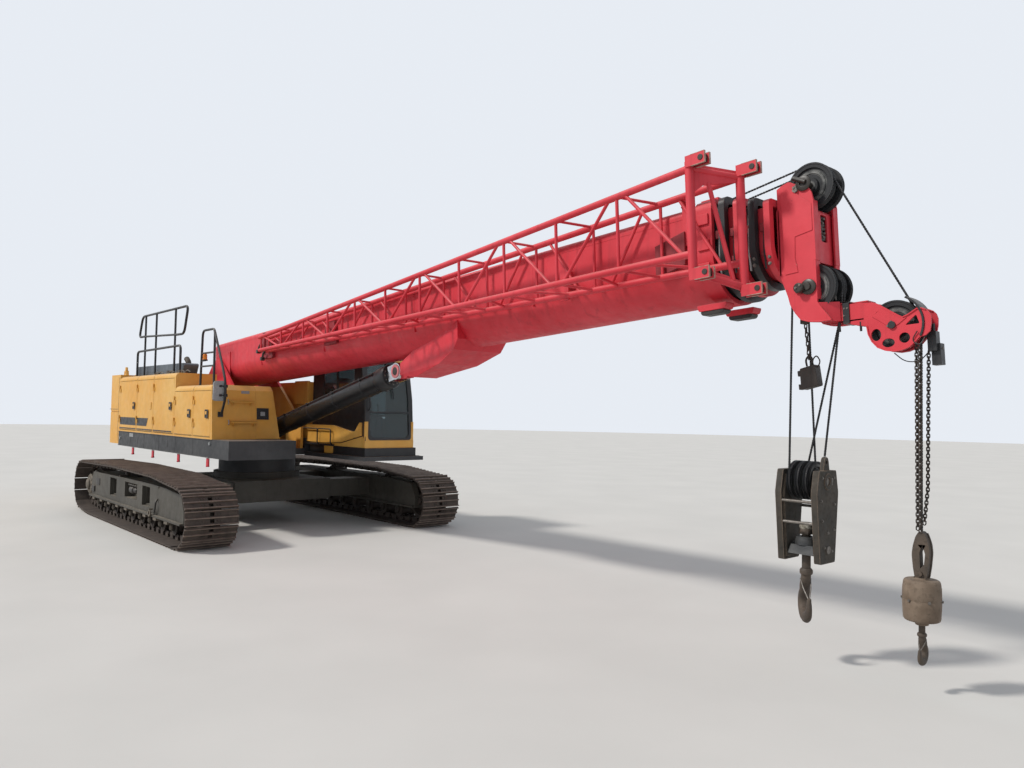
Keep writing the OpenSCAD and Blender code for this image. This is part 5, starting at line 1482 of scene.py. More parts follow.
bm = bmesh.new()
base = WEIGHT_Z + 0.32
socket = [(-0.04, 0.0), (0.04, 0.0), (0.056, 0.1), (0.066, 0.21), (0.058, 0.28), (0.036, 0.345),
    (0.018, 0.372), (-0.01, 0.372), (-0.034, 0.335), (-0.055, 0.26), (-0.064, 0.19), (-0.055, 0.09)]
socket = [(AUX_X + x, base + z) for x, z in rounded_outline(socket, 0.02, 3)]
slit = [(AUX_X + x, base + z) for x, z in ((0.0, 0.085), (0.028, 0.12), (0.036, 0.2), (0.016, 0.27),
    (-0.006, 0.21))]
add_plate(bm, socket, [slit], -0.034, 0.034)
for low, high in mirrored(0.022, 0.04):
    add_strip(bm, socket[:len(socket) // 2], 0.006, low, high)
add_disc(bm, (AUX_X, 0, base + 0.045), 0.02, 0.105, (0, 1, 0), 16)
finish_piece(bm, "wedge_socket", "aux_fall", rust_brown, 0.006, 3, 30)

chain_tree, chain_ids = repeat_tree("chain_on_a_line")
bm = bmesh.new()
for shift, across in ((-0.014, Vector((0, 0.0115, 0))), (0.014, Vector((0, 0, 0.0115)))):
    loop = [Vector((shift + 0.019 * c, 0, 0)) + across * s for c,
        s in ((-1, 0), (-0.7, 0.9), (0.0, 1.0), (0.7, 0.9), (1, 0), (0.7, -0.9), (0.0, -1.0), (-0.7, -0.9),
        (-1, 0))]
    add_tube(bm, loop, 0.005, 0, 6)
link_mesh = bpy.data.meshes.new("two_links")
bm.to_mesh(link_mesh)
bm.free()
two_links = bpy.data.objects.new("two_links", link_mesh)
print("two chain links have", len(link_mesh.polygons), "faces")
for name, points in (("left_chain", [(AUX_X - 0.024, -0.034, 2.72), (AUX_X - 0.02, -0.026, 1.3)]),
        ("middle_chain", [(AUX_X + 0.006, -0.042, 2.7), (AUX_X + 0.004, -0.034, 1.28)]),
        ("right_chain", [(AUX_X + 0.044, 0.03, 2.66), (AUX_X + 0.036, 0.028, 1.6),
        (AUX_X + 0.01, 0.03, 1.34)])):
    length = sum((Vector(q) - Vector(p)).length for p, q in zip(points, points[1:]))
    chain = repeat_on_line(name, points, chain_tree, chain_ids, round(length / 0.05), two_links, rust_dark,
        False)
    chain.data.shade_smooth()
    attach(chain, "aux_fall")
    print(name, len(chain.data.polygons), "faces")
print("light hoist made")

# %% [markdown]
# The engine house is sheet steel: its doors close flush, so seams, latches and the dust on their
# sills do the work of showing scale. A door's own fittings ride on that door, so they swing with it.

# %% Fittings on the doors of the house
SIDE, LEFT = -1.444, 1.444
door_xs = {"tall_door_1": (-4.169, -2.954), "tall_door_2": (-2.904, -1.852),
    "tall_door_3": (-1.802, -0.605), "low_door_1": (-0.535, 0.426), "low_door_2": (0.476, 1.305)}
DOOR_BOTTOM, TALL_TOP, LOW_TOP = 1.633, 2.7, 2.44
latches = {"tall_door_1": (-3.104, 2.166), "tall_door_3": (-0.755, 2.166), "low_door_1": (0.276, 2.037),
    "low_door_2": (1.155, 2.037)}
LATCH_FACE = -1.4565


def add_latch(bm, x, z, y=SIDE, side=-1):
    """The dark dish of a paddle latch."""
    rim = rounded_outline(rectangle(x - 0.072, z - 0.075, x + 0.072, z + 0.075), 0.018)
    dish = rounded_outline(rectangle(x - 0.055, z - 0.058, x + 0.055, z + 0.058), 0.012)
    add_plate(bm, rim, [dish[::-1]], y + side * 0.001, y + side * 0.009)
    add_prism(bm, dish, y + side * 0.0005, y + side * 0.003)


for name, (rear, front) in door_xs.items():
    tall = name.startswith("tall")
    top = TALL_TOP if tall else LOW_TOP
    bm = bmesh.new()
    edge = 0.02
    frame_line = rectangle(rear + edge, DOOR_BOTTOM + edge, front - edge, top - edge)
    inner = rectangle(rear + 0.045, DOOR_BOTTOM + 0.045, front - 0.045, top - 0.045)
    add_plate(bm, frame_line, [inner[::-1]], SIDE + 0.004 + 0.026, SIDE + 0.004 + 0.03)
    if name in latches:
        x, z = latches[name]
        add_box(bm, (x - 0.05, LATCH_FACE - 0.004, z - 0.012), (x + 0.018, LATCH_FACE - 0.011, z + 0.044))
        add_prism(bm, [(x - 0.066, z - 0.112), (x + 0.066, z - 0.112), (x + 0.056, z - 0.08),
            (x - 0.056, z - 0.08)], SIDE - 0.0035, SIDE + 0.001)
        finish_piece(bm, name + "_paddle", name, paint_amber, 0.002)
        bm = bmesh.new()
        add_latch(bm, x, z, LATCH_FACE)
        add_disc(bm, (x + 0.034, LATCH_FACE - 0.006, z + 0.016), 0.012, 0.01, (0, 1, 0), 16)
    if tall and name != "tall_door_3":
        low, high = 1.742, 1.908
        ends = (-4.13, -2.962) if name == "tall_door_1" else (-2.898, -2.14)
        slant = 0.1 if name == "tall_door_2" else 0.0
        add_prism(bm, [(ends[0], low), (ends[1] - slant, low), (ends[1], high), (ends[0], high)],
            SIDE - 0.003, SIDE + 0.001)
    if tall:
        add_box(bm, (rear + 0.01, SIDE - 0.006, 1.66),
            (front - 0.01 if name != "tall_door_3" else -0.69, SIDE + 0.001, 1.682))
        add_box(bm, (rear + 0.01, SIDE - 0.004, 1.64), (front - 0.01, SIDE + 0.001, 1.648))
    else:
        add_box(bm, (rear + 0.02, SIDE - 0.002, 1.64), (front - 0.02, SIDE + 0.001, 1.646))
    finish_piece(bm, name + "_fittings", name, paint_black)
print("door fittings made for", len(door_xs), "doors")

# %% [markdown]
# The seams between the roof panels follow the rounded roof edge. On the sloping front wall sit a
# vent and two steps; they are drawn as if the wall were upright and then leaned with it.

# %% Seams over the roof edge, roof box, steps and vent
bm = bmesh.new()
TALL_ROOF, LOW_ROOF = 2.81, 2.55
roof_edge = [(SIDE - 0.0012, -0.098), (SIDE - 0.0012, -0.078), (-1.436, -0.044), (-1.416, -0.019),
    (-1.388, -0.003), (-1.36, 0.0012), (-0.95, 0.0012)]
for x, roof in ((-2.929, TALL_ROOF), (-1.827, TALL_ROOF), (0.451, LOW_ROOF)):
    add_strip(bm, [(y, round(roof + z, 4)) for y, z in roof_edge], -0.0015, x - 0.006, x + 0.006, "x")
front_lean = math.atan2(0.07, 0.867)
on_front = placed((1.4112, 0, 1.593), -front_lean, "Y")
vent = bmesh.new()
outer = rectangle(-0.642, 0.355, -0.418, 0.56)
inner = rectangle(-0.612, 0.385, -0.448, 0.53)
add_plate(vent, outer, [inner[::-1]], 0.0, 0.012, "x")
add_prism(vent, inner, -0.002, 0.002, "x")
for i in range(6):
    z = 0.392 + i * 0.024
    add_prism(vent, rectangle(-0.612, z, -0.448, z + 0.006), 0.002, 0.009, "x")
finish_piece(vent, "front_vent", "upper", paint_black, move=on_front)
vent = bmesh.new()
add_prism(vent, rectangle(-0.572, 0.42, -0.488, 0.495), 0.002, 0.0105, "x")
add_prism(vent, rectangle(-0.925, 0.815, -0.775, 0.865), 0.0, 0.003, "x")
for y, z in ((-1.165, 0.65), (-1.16, 0.29)):
    add_tube(vent, at_y(y, (0.0, z + 0.05), (0.03, z + 0.045), (0.034, z - 0.02), (0.0, z - 0.03)), 0.008,
        0.02, 8)
finish_piece(vent, "front_small_fittings", "upper", grey_plastic, move=on_front)
finish_piece(bm, "roof_seams", "upper", paint_black, 0.0)

bm = bmesh.new()
for z, low, high in ((0.672, -1.15, -0.71), (0.307, -1.14, -0.65)):
    add_box(bm, (0.0, low, z - 0.01), (0.085, high, z + 0.01))
    add_box(bm, (0.07, low, z - 0.026), (0.085, high, z + 0.014))
    for y in (low + 0.06, high - 0.06):
        add_prism(bm, [(0.0, z - 0.085), (0.0, z), (0.08, z), (0.08, z - 0.02)], y - 0.006, y + 0.006)
for z in (0.672, 0.307):
    for i in range(12):
        add_box(bm, (0.012, -1.12 + i * 0.036, z + 0.009), (0.066, -1.105 + i * 0.036, z + 0.013))
finish_piece(bm, "front_steps", "upper", paint_amber, 0.002, move=on_front)

bm = bmesh.new()
wall = [(0.93, 1.594), (1.411, 1.594), (1.341, 2.46), (1.26, 2.55), (0.93, 2.55)]
ends = [[bm.verts.new((x, y if y < -0.5 else -0.2 - 0.14 * (z - 1.594) / 0.956, z)) for x, z in wall]
    for y in (-0.659, -0.2)]
faces = [bm.faces.new(ends[0]), bm.faces.new(ends[1][::-1])]
faces += [bm.faces.new((ends[0][i], ends[1][i], ends[1][(i + 1) % 5], ends[0][(i + 1) % 5]))
    for i in range(5)]
bmesh.ops.recalc_face_normals(bm, faces=faces)
finish_piece(bm, "front_wall_end", "upper", paint_amber, 0.012, 2, 20)

slate = old_paint("slate_box", (0.07, 0.085, 0.105, 1), (0.12, 0.145, 0.17, 1), BARE_STEEL, dust=0.35,
    streaks=0.3)
bm = bmesh.new()
add_prism(bm, rounded_outline([(-4.1, 2.813), (-1.06, 2.813), (-0.96, 2.995), (-1.0, 3.03), (-4.06, 3.045),
    (-4.1, 3.005)], 0.02), -1.15, -0.86)
for i in range(14):
    x = -3.78 + i * 0.2
    add_box(bm, (x, -1.155, 2.86), (x + 0.15, -1.148, 2.87))
    add_box(bm, (x, -1.155, 2.9), (x + 0.15, -1.148, 2.91))
finish_piece(bm, "roof_box", "upper", slate, 0.006, 2)
bm = bmesh.new()
for i, (x, y) in enumerate(((-2.25, -1.3), (-2.1, -1.28), (-1.55, -1.27), (-1.32, -1.31), (-1.05, -1.25),
        (-0.86, -1.27), (-0.7, -1.22))):
    add_disc(bm, (x, y, 2.826 + 0.008 * (i % 3)), 0.028 + 0.006 * (i % 2), 0.03 + 0.02 * (i % 3), (0, 0, 1),
        14)
    add_tube(bm, [(x, y, 2.83), (x + 0.05, y + 0.03, 2.88), (x + 0.12, y + 0.06, 2.84)], 0.011, 0.03, 8)
finish_piece(bm, "roof_hose_ends", "upper", bolt_steel)
bm = bmesh.new()
add_ring(bm, [(0.0, 0.0), (0.075, 0.0), (0.075, 0.24), (0.068, 0.245), (0.062, 0.24), (0.062, 0.05),
    (0.0, 0.05)], (-2.55, -0.52, 2.79), (0, 0, 1), 32)
add_tube(bm, at_y(-0.52, (-2.55, 3.02), (-2.55, 3.14), (-2.68, 3.22)), 0.058, 0.09, 24)
add_box(bm, (-3.1, -0.66, 2.45), (-1.95, -0.38, 2.79))
finish_piece(bm, "exhaust", "upper", rust_brown, 0.004, 2)

print("roof box, vent and steps made")

# %% [markdown]
# The mirror hangs on two short arms clamped round the front rail, and a flashing beacon stands on
# the roof. The mirror's case is a thick plate with round corners and the glass a second, smaller
# plate: two pieces, because each has its own finish.

# %% Mirror and beacon
bm = bmesh.new()
add_prism(bm, rounded_outline([(-1.503, 2.262), (-1.297, 2.262), (-1.29, 2.612), (-1.496, 2.604)], 0.05),
    1.52, 1.552, "x")
finish_piece(bm, "mirror_case", "upper", grey_plastic, 0.006, 2)
bm = bmesh.new()
add_prism(bm, rounded_outline([(-1.49, 2.275), (-1.31, 2.275), (-1.303, 2.598), (-1.484, 2.592)], 0.045),
    1.513, 1.521, "x")
finish_piece(bm, "mirror_face", "upper", mirror_glass, 0.0)
bm = bmesh.new()
for z in (2.36, 2.52):
    add_tube(bm, [(1.548, -1.355, z), (1.572, -1.33, z), (1.585, -1.302, z)], 0.01, 0.01, 8)
    add_box(bm, (1.553, -1.4, z - 0.02), (1.562, -1.35, z + 0.02))
add_disc(bm, (1.585, -1.3, 2.52), 0.034, 0.05, (0, 0, 1), 16)
add_disc(bm, (1.59, -1.3, 2.36), 0.034, 0.05, (0, 0, 1), 16)
add_box(bm, (1.374, -1.345, 1.985), (1.392, -1.255, 2.075))
finish_piece(bm, "mirror_arms", "upper", paint_black)
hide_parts("mirror")
bm = bmesh.new()
add_ring(bm, [(0, 0), (0.045, 0), (0.045, 0.012), (0.038, 0.016), (0.038, 0.085), (0.03, 0.104),
    (0, 0.108)], (0.56, -1.3, 3.02), (0, 0, 1), 28)
finish_piece(bm, "beacon", "upper", beacon_glass, 0.002, 2)
bm = bmesh.new()
add_ring(bm, rectangle(0, 0, 0.05, 0.022), (0.56, -1.3, 3.0), (0, 0, 1), 28)
add_box(bm, (0.4, -1.308, 2.99), (0.6, -1.292, 3.001))
finish_piece(bm, "beacon_foot", "upper", paint_black, 0.002)

print("mirror and beacon made")

# %% [markdown]
# The counterweight is a stack of cast slabs, so fine joint lines, lifting lugs and lashing eyes
# are what shows its weight. The skirt under the house gets bent edges, plate seams and caps.

# %% Counterweight and skirt
bm = bmesh.new()
for side in (-1, 1):
    y = side * 1.4445
    add_box(bm, (-4.305, y - 0.0015, 1.36), (-4.295, y + 0.0015, 2.8))
    add_box(bm, (-5.0, y - 0.0012, 2.075), (-4.3, y + 0.0012, 2.085))
for z in (1.7, 2.085, 2.48):
    add_box(bm, (-5.1755, -1.22, z - 0.005), (-5.172, 1.22, z + 0.005))
finish_piece(bm, "counterweight_joints", "upper", paint_black, 0.0)
bm = bmesh.new()
for side in (-1, 1):
    for y in (side * 0.5, side * 0.95):
        add_ring(bm, [(0.022, 0), (0.05, 0), (0.05, 0.014), (0.042, 0.02), (0.022, 0.02)],
            (-5.174, y, 1.58), (-1, 0, 0), 24)
    add_prism(bm, rounded_outline([(-4.79, 2.985), (-4.68, 2.985), (-4.7, 3.065), (-4.77, 3.065)], 0.02),
        side * 1.184 - 0.02, side * 1.184 + 0.02)
    for x in (-4.98, -4.4):
        add_disc(bm, (x, side * 1.05, 2.872), 0.04, 0.02, (0, 0, 1), 20)
    for z in (1.5, 2.7):
        add_disc(bm, (-4.26, side * 1.446, z), 0.018, 0.008, (0, 1, 0), 14)
finish_piece(bm, "counterweight_lugs", "upper", paint_amber, 0.004, 2)
bm = bmesh.new()
for side in (-1, 1):
    add_slab(bm, side * 1.05 - 0.085, 1.385, side * 1.05 + 0.085, 1.455, 0.015, -5.186, -5.173, "x")
finish_piece(bm, "tail_lamps", "upper",
    old_paint("lamp_red", (0.3, 0.012, 0.01, 1), (0.36, 0.03, 0.02, 1), (0.2, 0.01, 0.01, 1), chips=0.1,
    rough=0.15), 0.003, 2)

bm = bmesh.new()
for side in (-1, 1):
    y = side * LEFT
    add_box(bm, (-4.214, y, 1.58), (1.42 if side < 0 else 0.84, y + side * 0.012, 1.592))
    add_box(bm, (-4.214, y, 1.272), (1.42 if side < 0 else 0.84, y + side * 0.01, 1.286))
    for x in (-3.3, -2.35, -1.4, -0.45, 0.5):
        add_box(bm, (x - 0.004, y, 1.29), (x + 0.004, y + side * 0.003, 1.578))
    for x in (-2.9, -1.0):
        add_plate(bm, rounded_outline(rectangle(x - 0.13, 1.36, x + 0.13, 1.5), 0.02), [], y,
            y + side * 0.004)
finish_piece(bm, "skirt_edges", "upper", paint_charcoal, 0.002)
bm = bmesh.new()
for side in (-1, 1):
    for x, z in ((-4.05, 1.44), (1.33 if side < 0 else 0.7, 1.52)):
        add_disc(bm, (x, side * 1.452, z), 0.03, 0.022, (0, 1, 0), 18)
    add_prism(bm, rectangle(-3.38, 1.49, -3.12, 1.565), side * LEFT, side * 1.4475)
finish_piece(bm, "skirt_lugs", "upper", grey_plastic)

print("counterweight and skirt dressed")

# %% [markdown]
# The left housing breathes through louvres. Each is a short lip bent out of the sheet over a dark
# slot, so one wedge and one thin bar are repeated down the wall at even steps.

# %% Left housing: seams, louvres and latches
bm = bmesh.new()
for x in (-3.2, -2.2, -1.2, -0.18):
    add_box(bm, (x - 0.004, LEFT - 0.001, 1.62), (x + 0.004, LEFT + 0.0012, 2.6))
for x in (-2.34, -1.34, -0.32, 0.64):
    add_latch(bm, x, 2.12, LEFT, 1)
louvres = [(x, 1.78 + i * 0.05) for i in range(15) for x in (-4.05, -3.08)]
for x, z in louvres:
    add_box(bm, (x, LEFT, z), (x + 0.62, LEFT + 0.004, z + 0.012))
finish_piece(bm, "left_seams_and_latches", "upper", paint_black)
bm = bmesh.new()
for x, z in louvres:
    add_prism(bm, [(LEFT, z + 0.013), (LEFT + 0.022, z + 0.013), (LEFT + 0.022, z + 0.019),
        (LEFT, z + 0.044)], x, x + 0.62, "x")
add_box(bm, (-4.214, LEFT, 1.6), (0.84, LEFT + 0.008, 1.615))
finish_piece(bm, "left_louvres", "upper", paint_amber)
print("house dressed")

# %% [markdown]
# The cab is mostly glass in black rubber. The panes are a few millimetres thick and stand in real
# frames, with a wiper, a seat, levers and a console behind them, so that the windows show depth
# instead of a flat tint.

# %% Cab front, right side and rear
CAB_RIGHT, CAB_LEFT, CAB_FRONT, CAB_REAR = 0.64, 1.64, 3.01, 1.03
front_slope = placed((CAB_FRONT, 0, 1.6), -math.atan2(0.06, 0.75), "Y")
FRONT_KNEE, KNEE_LEAN = 0.7524, 0.13


def bend_front(bm):
    """Lean the part above the knee of the cab front further back."""
    everything = bm.verts[:] + bm.edges[:] + bm.faces[:]
    bmesh.ops.bisect_plane(bm, geom=everything, plane_co=(0, 0, FRONT_KNEE), plane_no=(0, 0, 1))
    for vert in bm.verts:
        vert.co.x -= max(vert.co.z - FRONT_KNEE, 0) * KNEE_LEAN


bm = bmesh.new()
hole_line = rounded_outline(rectangle(0.735, 0.062, 1.545, 1.4), 0.1)
add_plate(bm, rounded_outline(rectangle(0.69, 0.022, 1.59, 1.44), 0.06), [hole_line[::-1]], -0.03, 0.006,
    "x")
add_box(bm, (-0.026, 0.735, 0.498), (0.008, 1.545, 0.53))
for y0, y1 in ((0.643, 0.689), (1.591, 1.637)):
    add_box(bm, (-0.01, y0, 0.345), (0.005, y1, 1.52))
bend_front(bm)
finish_piece(bm, "front_window_rubber", "upper", paint_black, 0.004, 2, move=front_slope)
bm = bmesh.new()
add_plate(bm, rounded_outline(rectangle(0.725, 0.052, 1.555, 1.41), 0.09), [], -0.02, -0.014, "x")
bend_front(bm)
finish_piece(bm, "front_window", "upper", window_glass, 0.0, move=front_slope)

bm = bmesh.new()
side_windows = [(1.48, 1.95, 2.3, 3.02), (2.01, 2.6, 2.3, 3.02)]
right_line = [(1.04, 1.485), (3.013, 1.485), (3.013, 1.6), (2.954, 2.35), (2.784, 3.16), (2.684, 3.222),
    (1.1, 3.222), (1.04, 3.16)]
holes = [rounded_outline(rectangle(a, c, b, d), 0.05)[::-1] for a, b, c, d in side_windows]
add_plate(bm, right_line, holes, CAB_RIGHT - 0.012, CAB_RIGHT + 0.002)
finish_piece(bm, "right_side_black", "upper", paint_black, 0.003)
bm = bmesh.new()
for a, b, c, d in side_windows:
    add_box(bm, (a - 0.01, CAB_RIGHT - 0.006, c - 0.01), (b + 0.01, CAB_RIGHT - 0.001, d + 0.01))
rear_pane = rounded_outline(rectangle(0.77, 2.19, 1.51, 3.04), 0.05)
add_prism(bm, rear_pane, CAB_REAR - 0.004, CAB_REAR + 0.003, "x")
glass = finish_piece(bm, "right_and_rear_windows", "upper", window_glass, 0.0)
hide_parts("cab_glass")

# The lower right panel with its notch, in amber over the black side
bm = bmesh.new()
panel = [(0.655, 1.61), (0.74, 1.535), (1.55, 1.53), (2.19, 1.555), (2.915, 1.7), (2.905, 1.93),
    (2.865, 1.93), (2.72, 1.775), (2.62, 1.765), (1.95, 1.865), (0.72, 1.86), (0.655, 1.8)]
add_plate(bm, panel, [], CAB_RIGHT - 0.055, CAB_RIGHT - 0.013)
add_plate(bm, [(0.96, 1.487), (3.012, 1.487), (3.012, 1.56), (2.95, 1.69), (2.2, 1.545), (1.55, 1.52),
    (0.96, 1.522)], [], CAB_RIGHT - 0.02, CAB_RIGHT - 0.012)
add_prism(bm, rectangle(0.62, 1.487, 1.64, 1.615), 3.008, 3.016, "x")
for y0, y1 in ((0.622, 0.688), (1.592, 1.64)):
    add_prism(bm, rectangle(y0, 1.6, y1, 1.95), 2.975, 3.006, "x")
finish_piece(bm, "right_panel", "upper", paint_amber, 0.006, 2)
bm = bmesh.new()
for x0, x1 in ((0.8, 1.42), (1.42, 1.93)):
    add_tube(bm, [(x0, CAB_RIGHT - 0.05, 1.5), (x0, CAB_RIGHT - 0.1, 1.53), (x0, CAB_RIGHT - 0.1, 1.79),
        (x1, CAB_RIGHT - 0.1, 1.79), (x1, CAB_RIGHT - 0.1, 1.53), (x1, CAB_RIGHT - 0.05, 1.5)], 0.012, 0.05)
add_box(bm, (0.78, CAB_RIGHT - 0.072, 1.48), (1.97, CAB_RIGHT - 0.04, 1.512))
finish_piece(bm, "right_hand_bars", "upper", paint_black)

print("cab front and right side made")

# %% [markdown]
# The cab's door swings with all that is on it: rubber, glass, skin, handle and latch ride on the
# door's own body. The roof hatch, wiper and lamps ride on the upper works.

# %% Cab door, roof and wiper
door_x0, door_x1 = 1.128, 2.172
bm = bmesh.new()
outer = rounded_outline(rectangle(door_x0 + 0.045, 2.03, door_x1 - 0.045, 3.07), 0.06)
inner = rounded_outline(rectangle(door_x0 + 0.085, 2.07, door_x1 - 0.085, 3.03), 0.05)
add_plate(bm, outer, [inner[::-1]], CAB_LEFT - 0.002, CAB_LEFT + 0.007)
add_latch(bm, door_x1 - 0.13, 1.92, CAB_LEFT, 1)
add_tube(bm, [(door_x1 - 0.055, CAB_LEFT, 2.12), (door_x1 - 0.055, CAB_LEFT + 0.05, 2.15),
    (door_x1 - 0.055, CAB_LEFT + 0.05, 2.52), (door_x1 - 0.055, CAB_LEFT, 2.55)], 0.011, 0.04)
finish_piece(bm, "cab_door_rubber", "cab_door", paint_black, 0.003)
bm = bmesh.new()
add_prism(bm, rectangle(door_x0 + 0.06, 2.04, door_x1 - 0.06, 3.06), CAB_LEFT - 0.018, CAB_LEFT - 0.012)
finish_piece(bm, "cab_door_window", "cab_door", window_glass, 0.0)
bm = bmesh.new()
add_slab(bm, door_x0 + 0.03, 1.61, door_x1 - 0.03, 1.99, 0.03, CAB_LEFT - 0.002, CAB_LEFT + 0.004)
finish_piece(bm, "cab_door_skin", "cab_door", paint_amber, 0.003, 2)

bm = bmesh.new()
add_slab(bm, 1.25, 0.8, 2.5, 1.48, 0.06, 3.228, 3.246, "z")
add_prism(bm, rectangle(1.09, 3.2, 2.7, 3.212), CAB_RIGHT - 0.01, CAB_RIGHT)
add_prism(bm, rectangle(1.09, 3.2, 2.7, 3.212), CAB_LEFT, CAB_LEFT + 0.01)
finish_piece(bm, "cab_roof_hatch", "upper", paint_amber, 0.006, 2)
bm = bmesh.new()
add_disc(bm, (0.016, 1.14, 1.45), 0.022, 0.03, (1, 0, 0), 16)
add_tube(bm, [(0.024, 1.14, 1.45), (0.028, 1.22, 1.05)], 0.007, 0, 8)
add_box(bm, (0.01, 1.215, 0.76), (0.03, 1.227, 1.3))
add_tube(bm, at_y(0.7, (0.02, 0.55), (0.075, 0.58), (0.075, 0.98), (0.02, 1.02)), 0.011, 0.05)
bend_front(bm)
finish_piece(bm, "wiper_and_hand_bar", "upper", paint_black, move=front_slope)
bm = bmesh.new()
for y in (0.8, 1.48):
    add_ring(bm, [(0, 0), (0.055, 0), (0.07, 0.035), (0.07, 0.05), (0.062, 0.05), (0.056, 0.035),
        (0, 0.035)], (2.74, y, 3.315), (1, 0, 0), 28)
    add_box(bm, (2.72, y - 0.015, 3.225), (2.75, y + 0.015, 3.262))
finish_piece(bm, "work_lamps", "upper", paint_black, 0.003)
bm = bmesh.new()
for y in (0.8, 1.48):
    add_disc(bm, (2.782, y, 3.315), 0.06, 0.01, (1, 0, 0), 28)
finish_piece(bm, "work_lamp_glass", "upper", lamp_glass, 0.003)

print("cab door, hatch, wiper and lamps made")

# %% [markdown]
# Through the glass one sees a padded seat, two arm consoles with levers, a screen and pedals.
# Rounded outlines with a wide bevel are enough for cushions that are only seen through a window.

# %% Seat, console and levers
bm = bmesh.new()
add_prism(bm, rounded_outline([(1.4, 1.82), (1.92, 1.82), (1.95, 1.87), (1.92, 1.95), (1.46, 1.95),
    (1.4, 1.9)], 0.035), 0.9, 1.38)
add_prism(bm, rounded_outline([(1.36, 1.9), (1.47, 1.9), (1.43, 2.36), (1.33, 2.58), (1.25, 2.56),
    (1.3, 2.3)], 0.045), 0.91, 1.37)
add_prism(bm, rounded_outline([(1.27, 2.58), (1.345, 2.6), (1.315, 2.78), (1.245, 2.76)], 0.03), 1.02, 1.26)
for y in (0.86, 1.42):
    add_prism(bm, rounded_outline([(1.42, 2.08), (1.8, 2.1), (1.82, 2.14), (1.42, 2.13)], 0.015), y - 0.03,
        y + 0.03)
seat = finish_piece(bm, "seat_cushions", "upper", vinyl, 0.02, 3)
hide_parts("cab_seat")
bm = bmesh.new()
add_box(bm, (1.5, 0.99, 1.531), (1.8, 1.29, 1.82))
for y in (0.8, 1.48):
    add_prism(bm, rounded_outline([(1.5, 1.53), (2.05, 1.53), (2.12, 2.0), (1.98, 2.06), (1.52, 2.0)],
        0.03), y - 0.07, y + 0.07)
    add_tube(bm, [(2.0, y, 2.04), (2.04, y, 2.16), (2.02, y, 2.24)], 0.012, 0.03)
    add_ring(bm, [(0, 0), (0.022, 0.005), (0.028, 0.03), (0.02, 0.06), (0, 0.07)], (2.02, y, 2.22),
        (0, 0, 1), 16)
add_prism(bm, rounded_outline([(2.62, 1.531), (2.84, 1.531), (2.82, 2.02), (2.72, 2.1), (2.62, 2.02)],
    0.03), 0.74, 0.95)
add_prism(bm, rounded_outline([(2.6, 2.1), (2.66, 2.1), (2.64, 2.32), (2.58, 2.32)], 0.015), 0.72, 0.98)
for y in (1.06, 1.22):
    add_prism(bm, [(2.55, 1.56), (2.7, 1.66), (2.71, 1.64), (2.56, 1.54)], y - 0.04, y + 0.04)
finish_piece(bm, "console_and_levers", "upper", rubber, 0.008, 2)
print("cab fitted out")

# %% [markdown]
# The cab stands on rubber mounts inside a black skirt, with a tread plate along its left side.

# %% Base of the cab, its step and the plate beside the tower
bm = bmesh.new()
add_plate(bm, rectangle(1.002, 0.61, 3.038, 1.68), [rectangle(1.009, 1.672, 3.031, 0.619)], 1.334, 1.4835,
    "z")
add_box(bm, (0.95, 1.66, 1.262), (3.08, 1.79, 1.3))
for i in range(18):
    add_box(bm, (1.0 + i * 0.115, 1.665, 1.332), (1.06 + i * 0.115, 1.785, 1.338))
for x in (1.25, 2.05, 2.85):
    add_disc(bm, (x, 0.7, 1.4), 0.055, 0.13, (0, 0, 1), 20)
    add_disc(bm, (x, 1.6, 1.4), 0.055, 0.13, (0, 0, 1), 20)
finish_piece(bm, "cab_mounts", "upper", paint_black, 0.003)
bm = bmesh.new()
add_box(bm, (1.62, 0.585, 1.345), (1.92, 0.612, 1.475))
add_slab(bm, 0.3, 2.25, 0.86, 2.71, 0.03, 0.6, 0.655)
finish_piece(bm, "amber_side_plates", "upper", paint_amber, 0.004, 2)

print("cab base made")

# %% [markdown]
# The telescopic boom is a stack of thin welded shells. At the mouth of each section a collar
# stiffens the edge, wear pads take the load, and grease and dirt gather there. The welds, brackets
# and hose lines along the base section break up what would otherwise be one long smooth tube.

# %% Weld lines, collars and pads
SECTION_SIZES = {1: (0.386, 0.491), 2: (0.352, 0.457), 3: (0.318, 0.423), 4: (0.284, 0.389)}
STICK_OUT, RIM = 0.13, 0.027
dirty_black = old_paint("dirty_black", (0.012, 0.011, 0.011, 1), (0.045, 0.038, 0.033, 1),
    (0.09, 0.07, 0.055, 1), dust=0.6, streaks=0.5, rough=0.4)
# The dark red is the boom's red paint darkened. It is painted shade for the collar blocks and jib brackets,
# which sit in the jib's shadow.
red_paint_painted_shade = old_paint("red_paint_painted_shade", (0.22, 0.012, 0.018, 1), (0.32, 0.022, 0.03, 1),
    (0.06, 0.02, 0.02, 1), dust=0.3, streaks=0.4)
bm = bmesh.new()
for x in (1.9, 4.3, 6.9, 9.3):
    add_box(bm, (x - 0.004, -0.4212, -0.1), (x + 0.004, 0.4212, 0.46))
for side in (-1, 1):
    add_box(bm, (-0.2, side * 0.42, 0.425), (11.55, side * 0.4225, 0.432))
finish_piece(bm, "base_welds", "boom", paint_red, 0.0, move=on_boom)

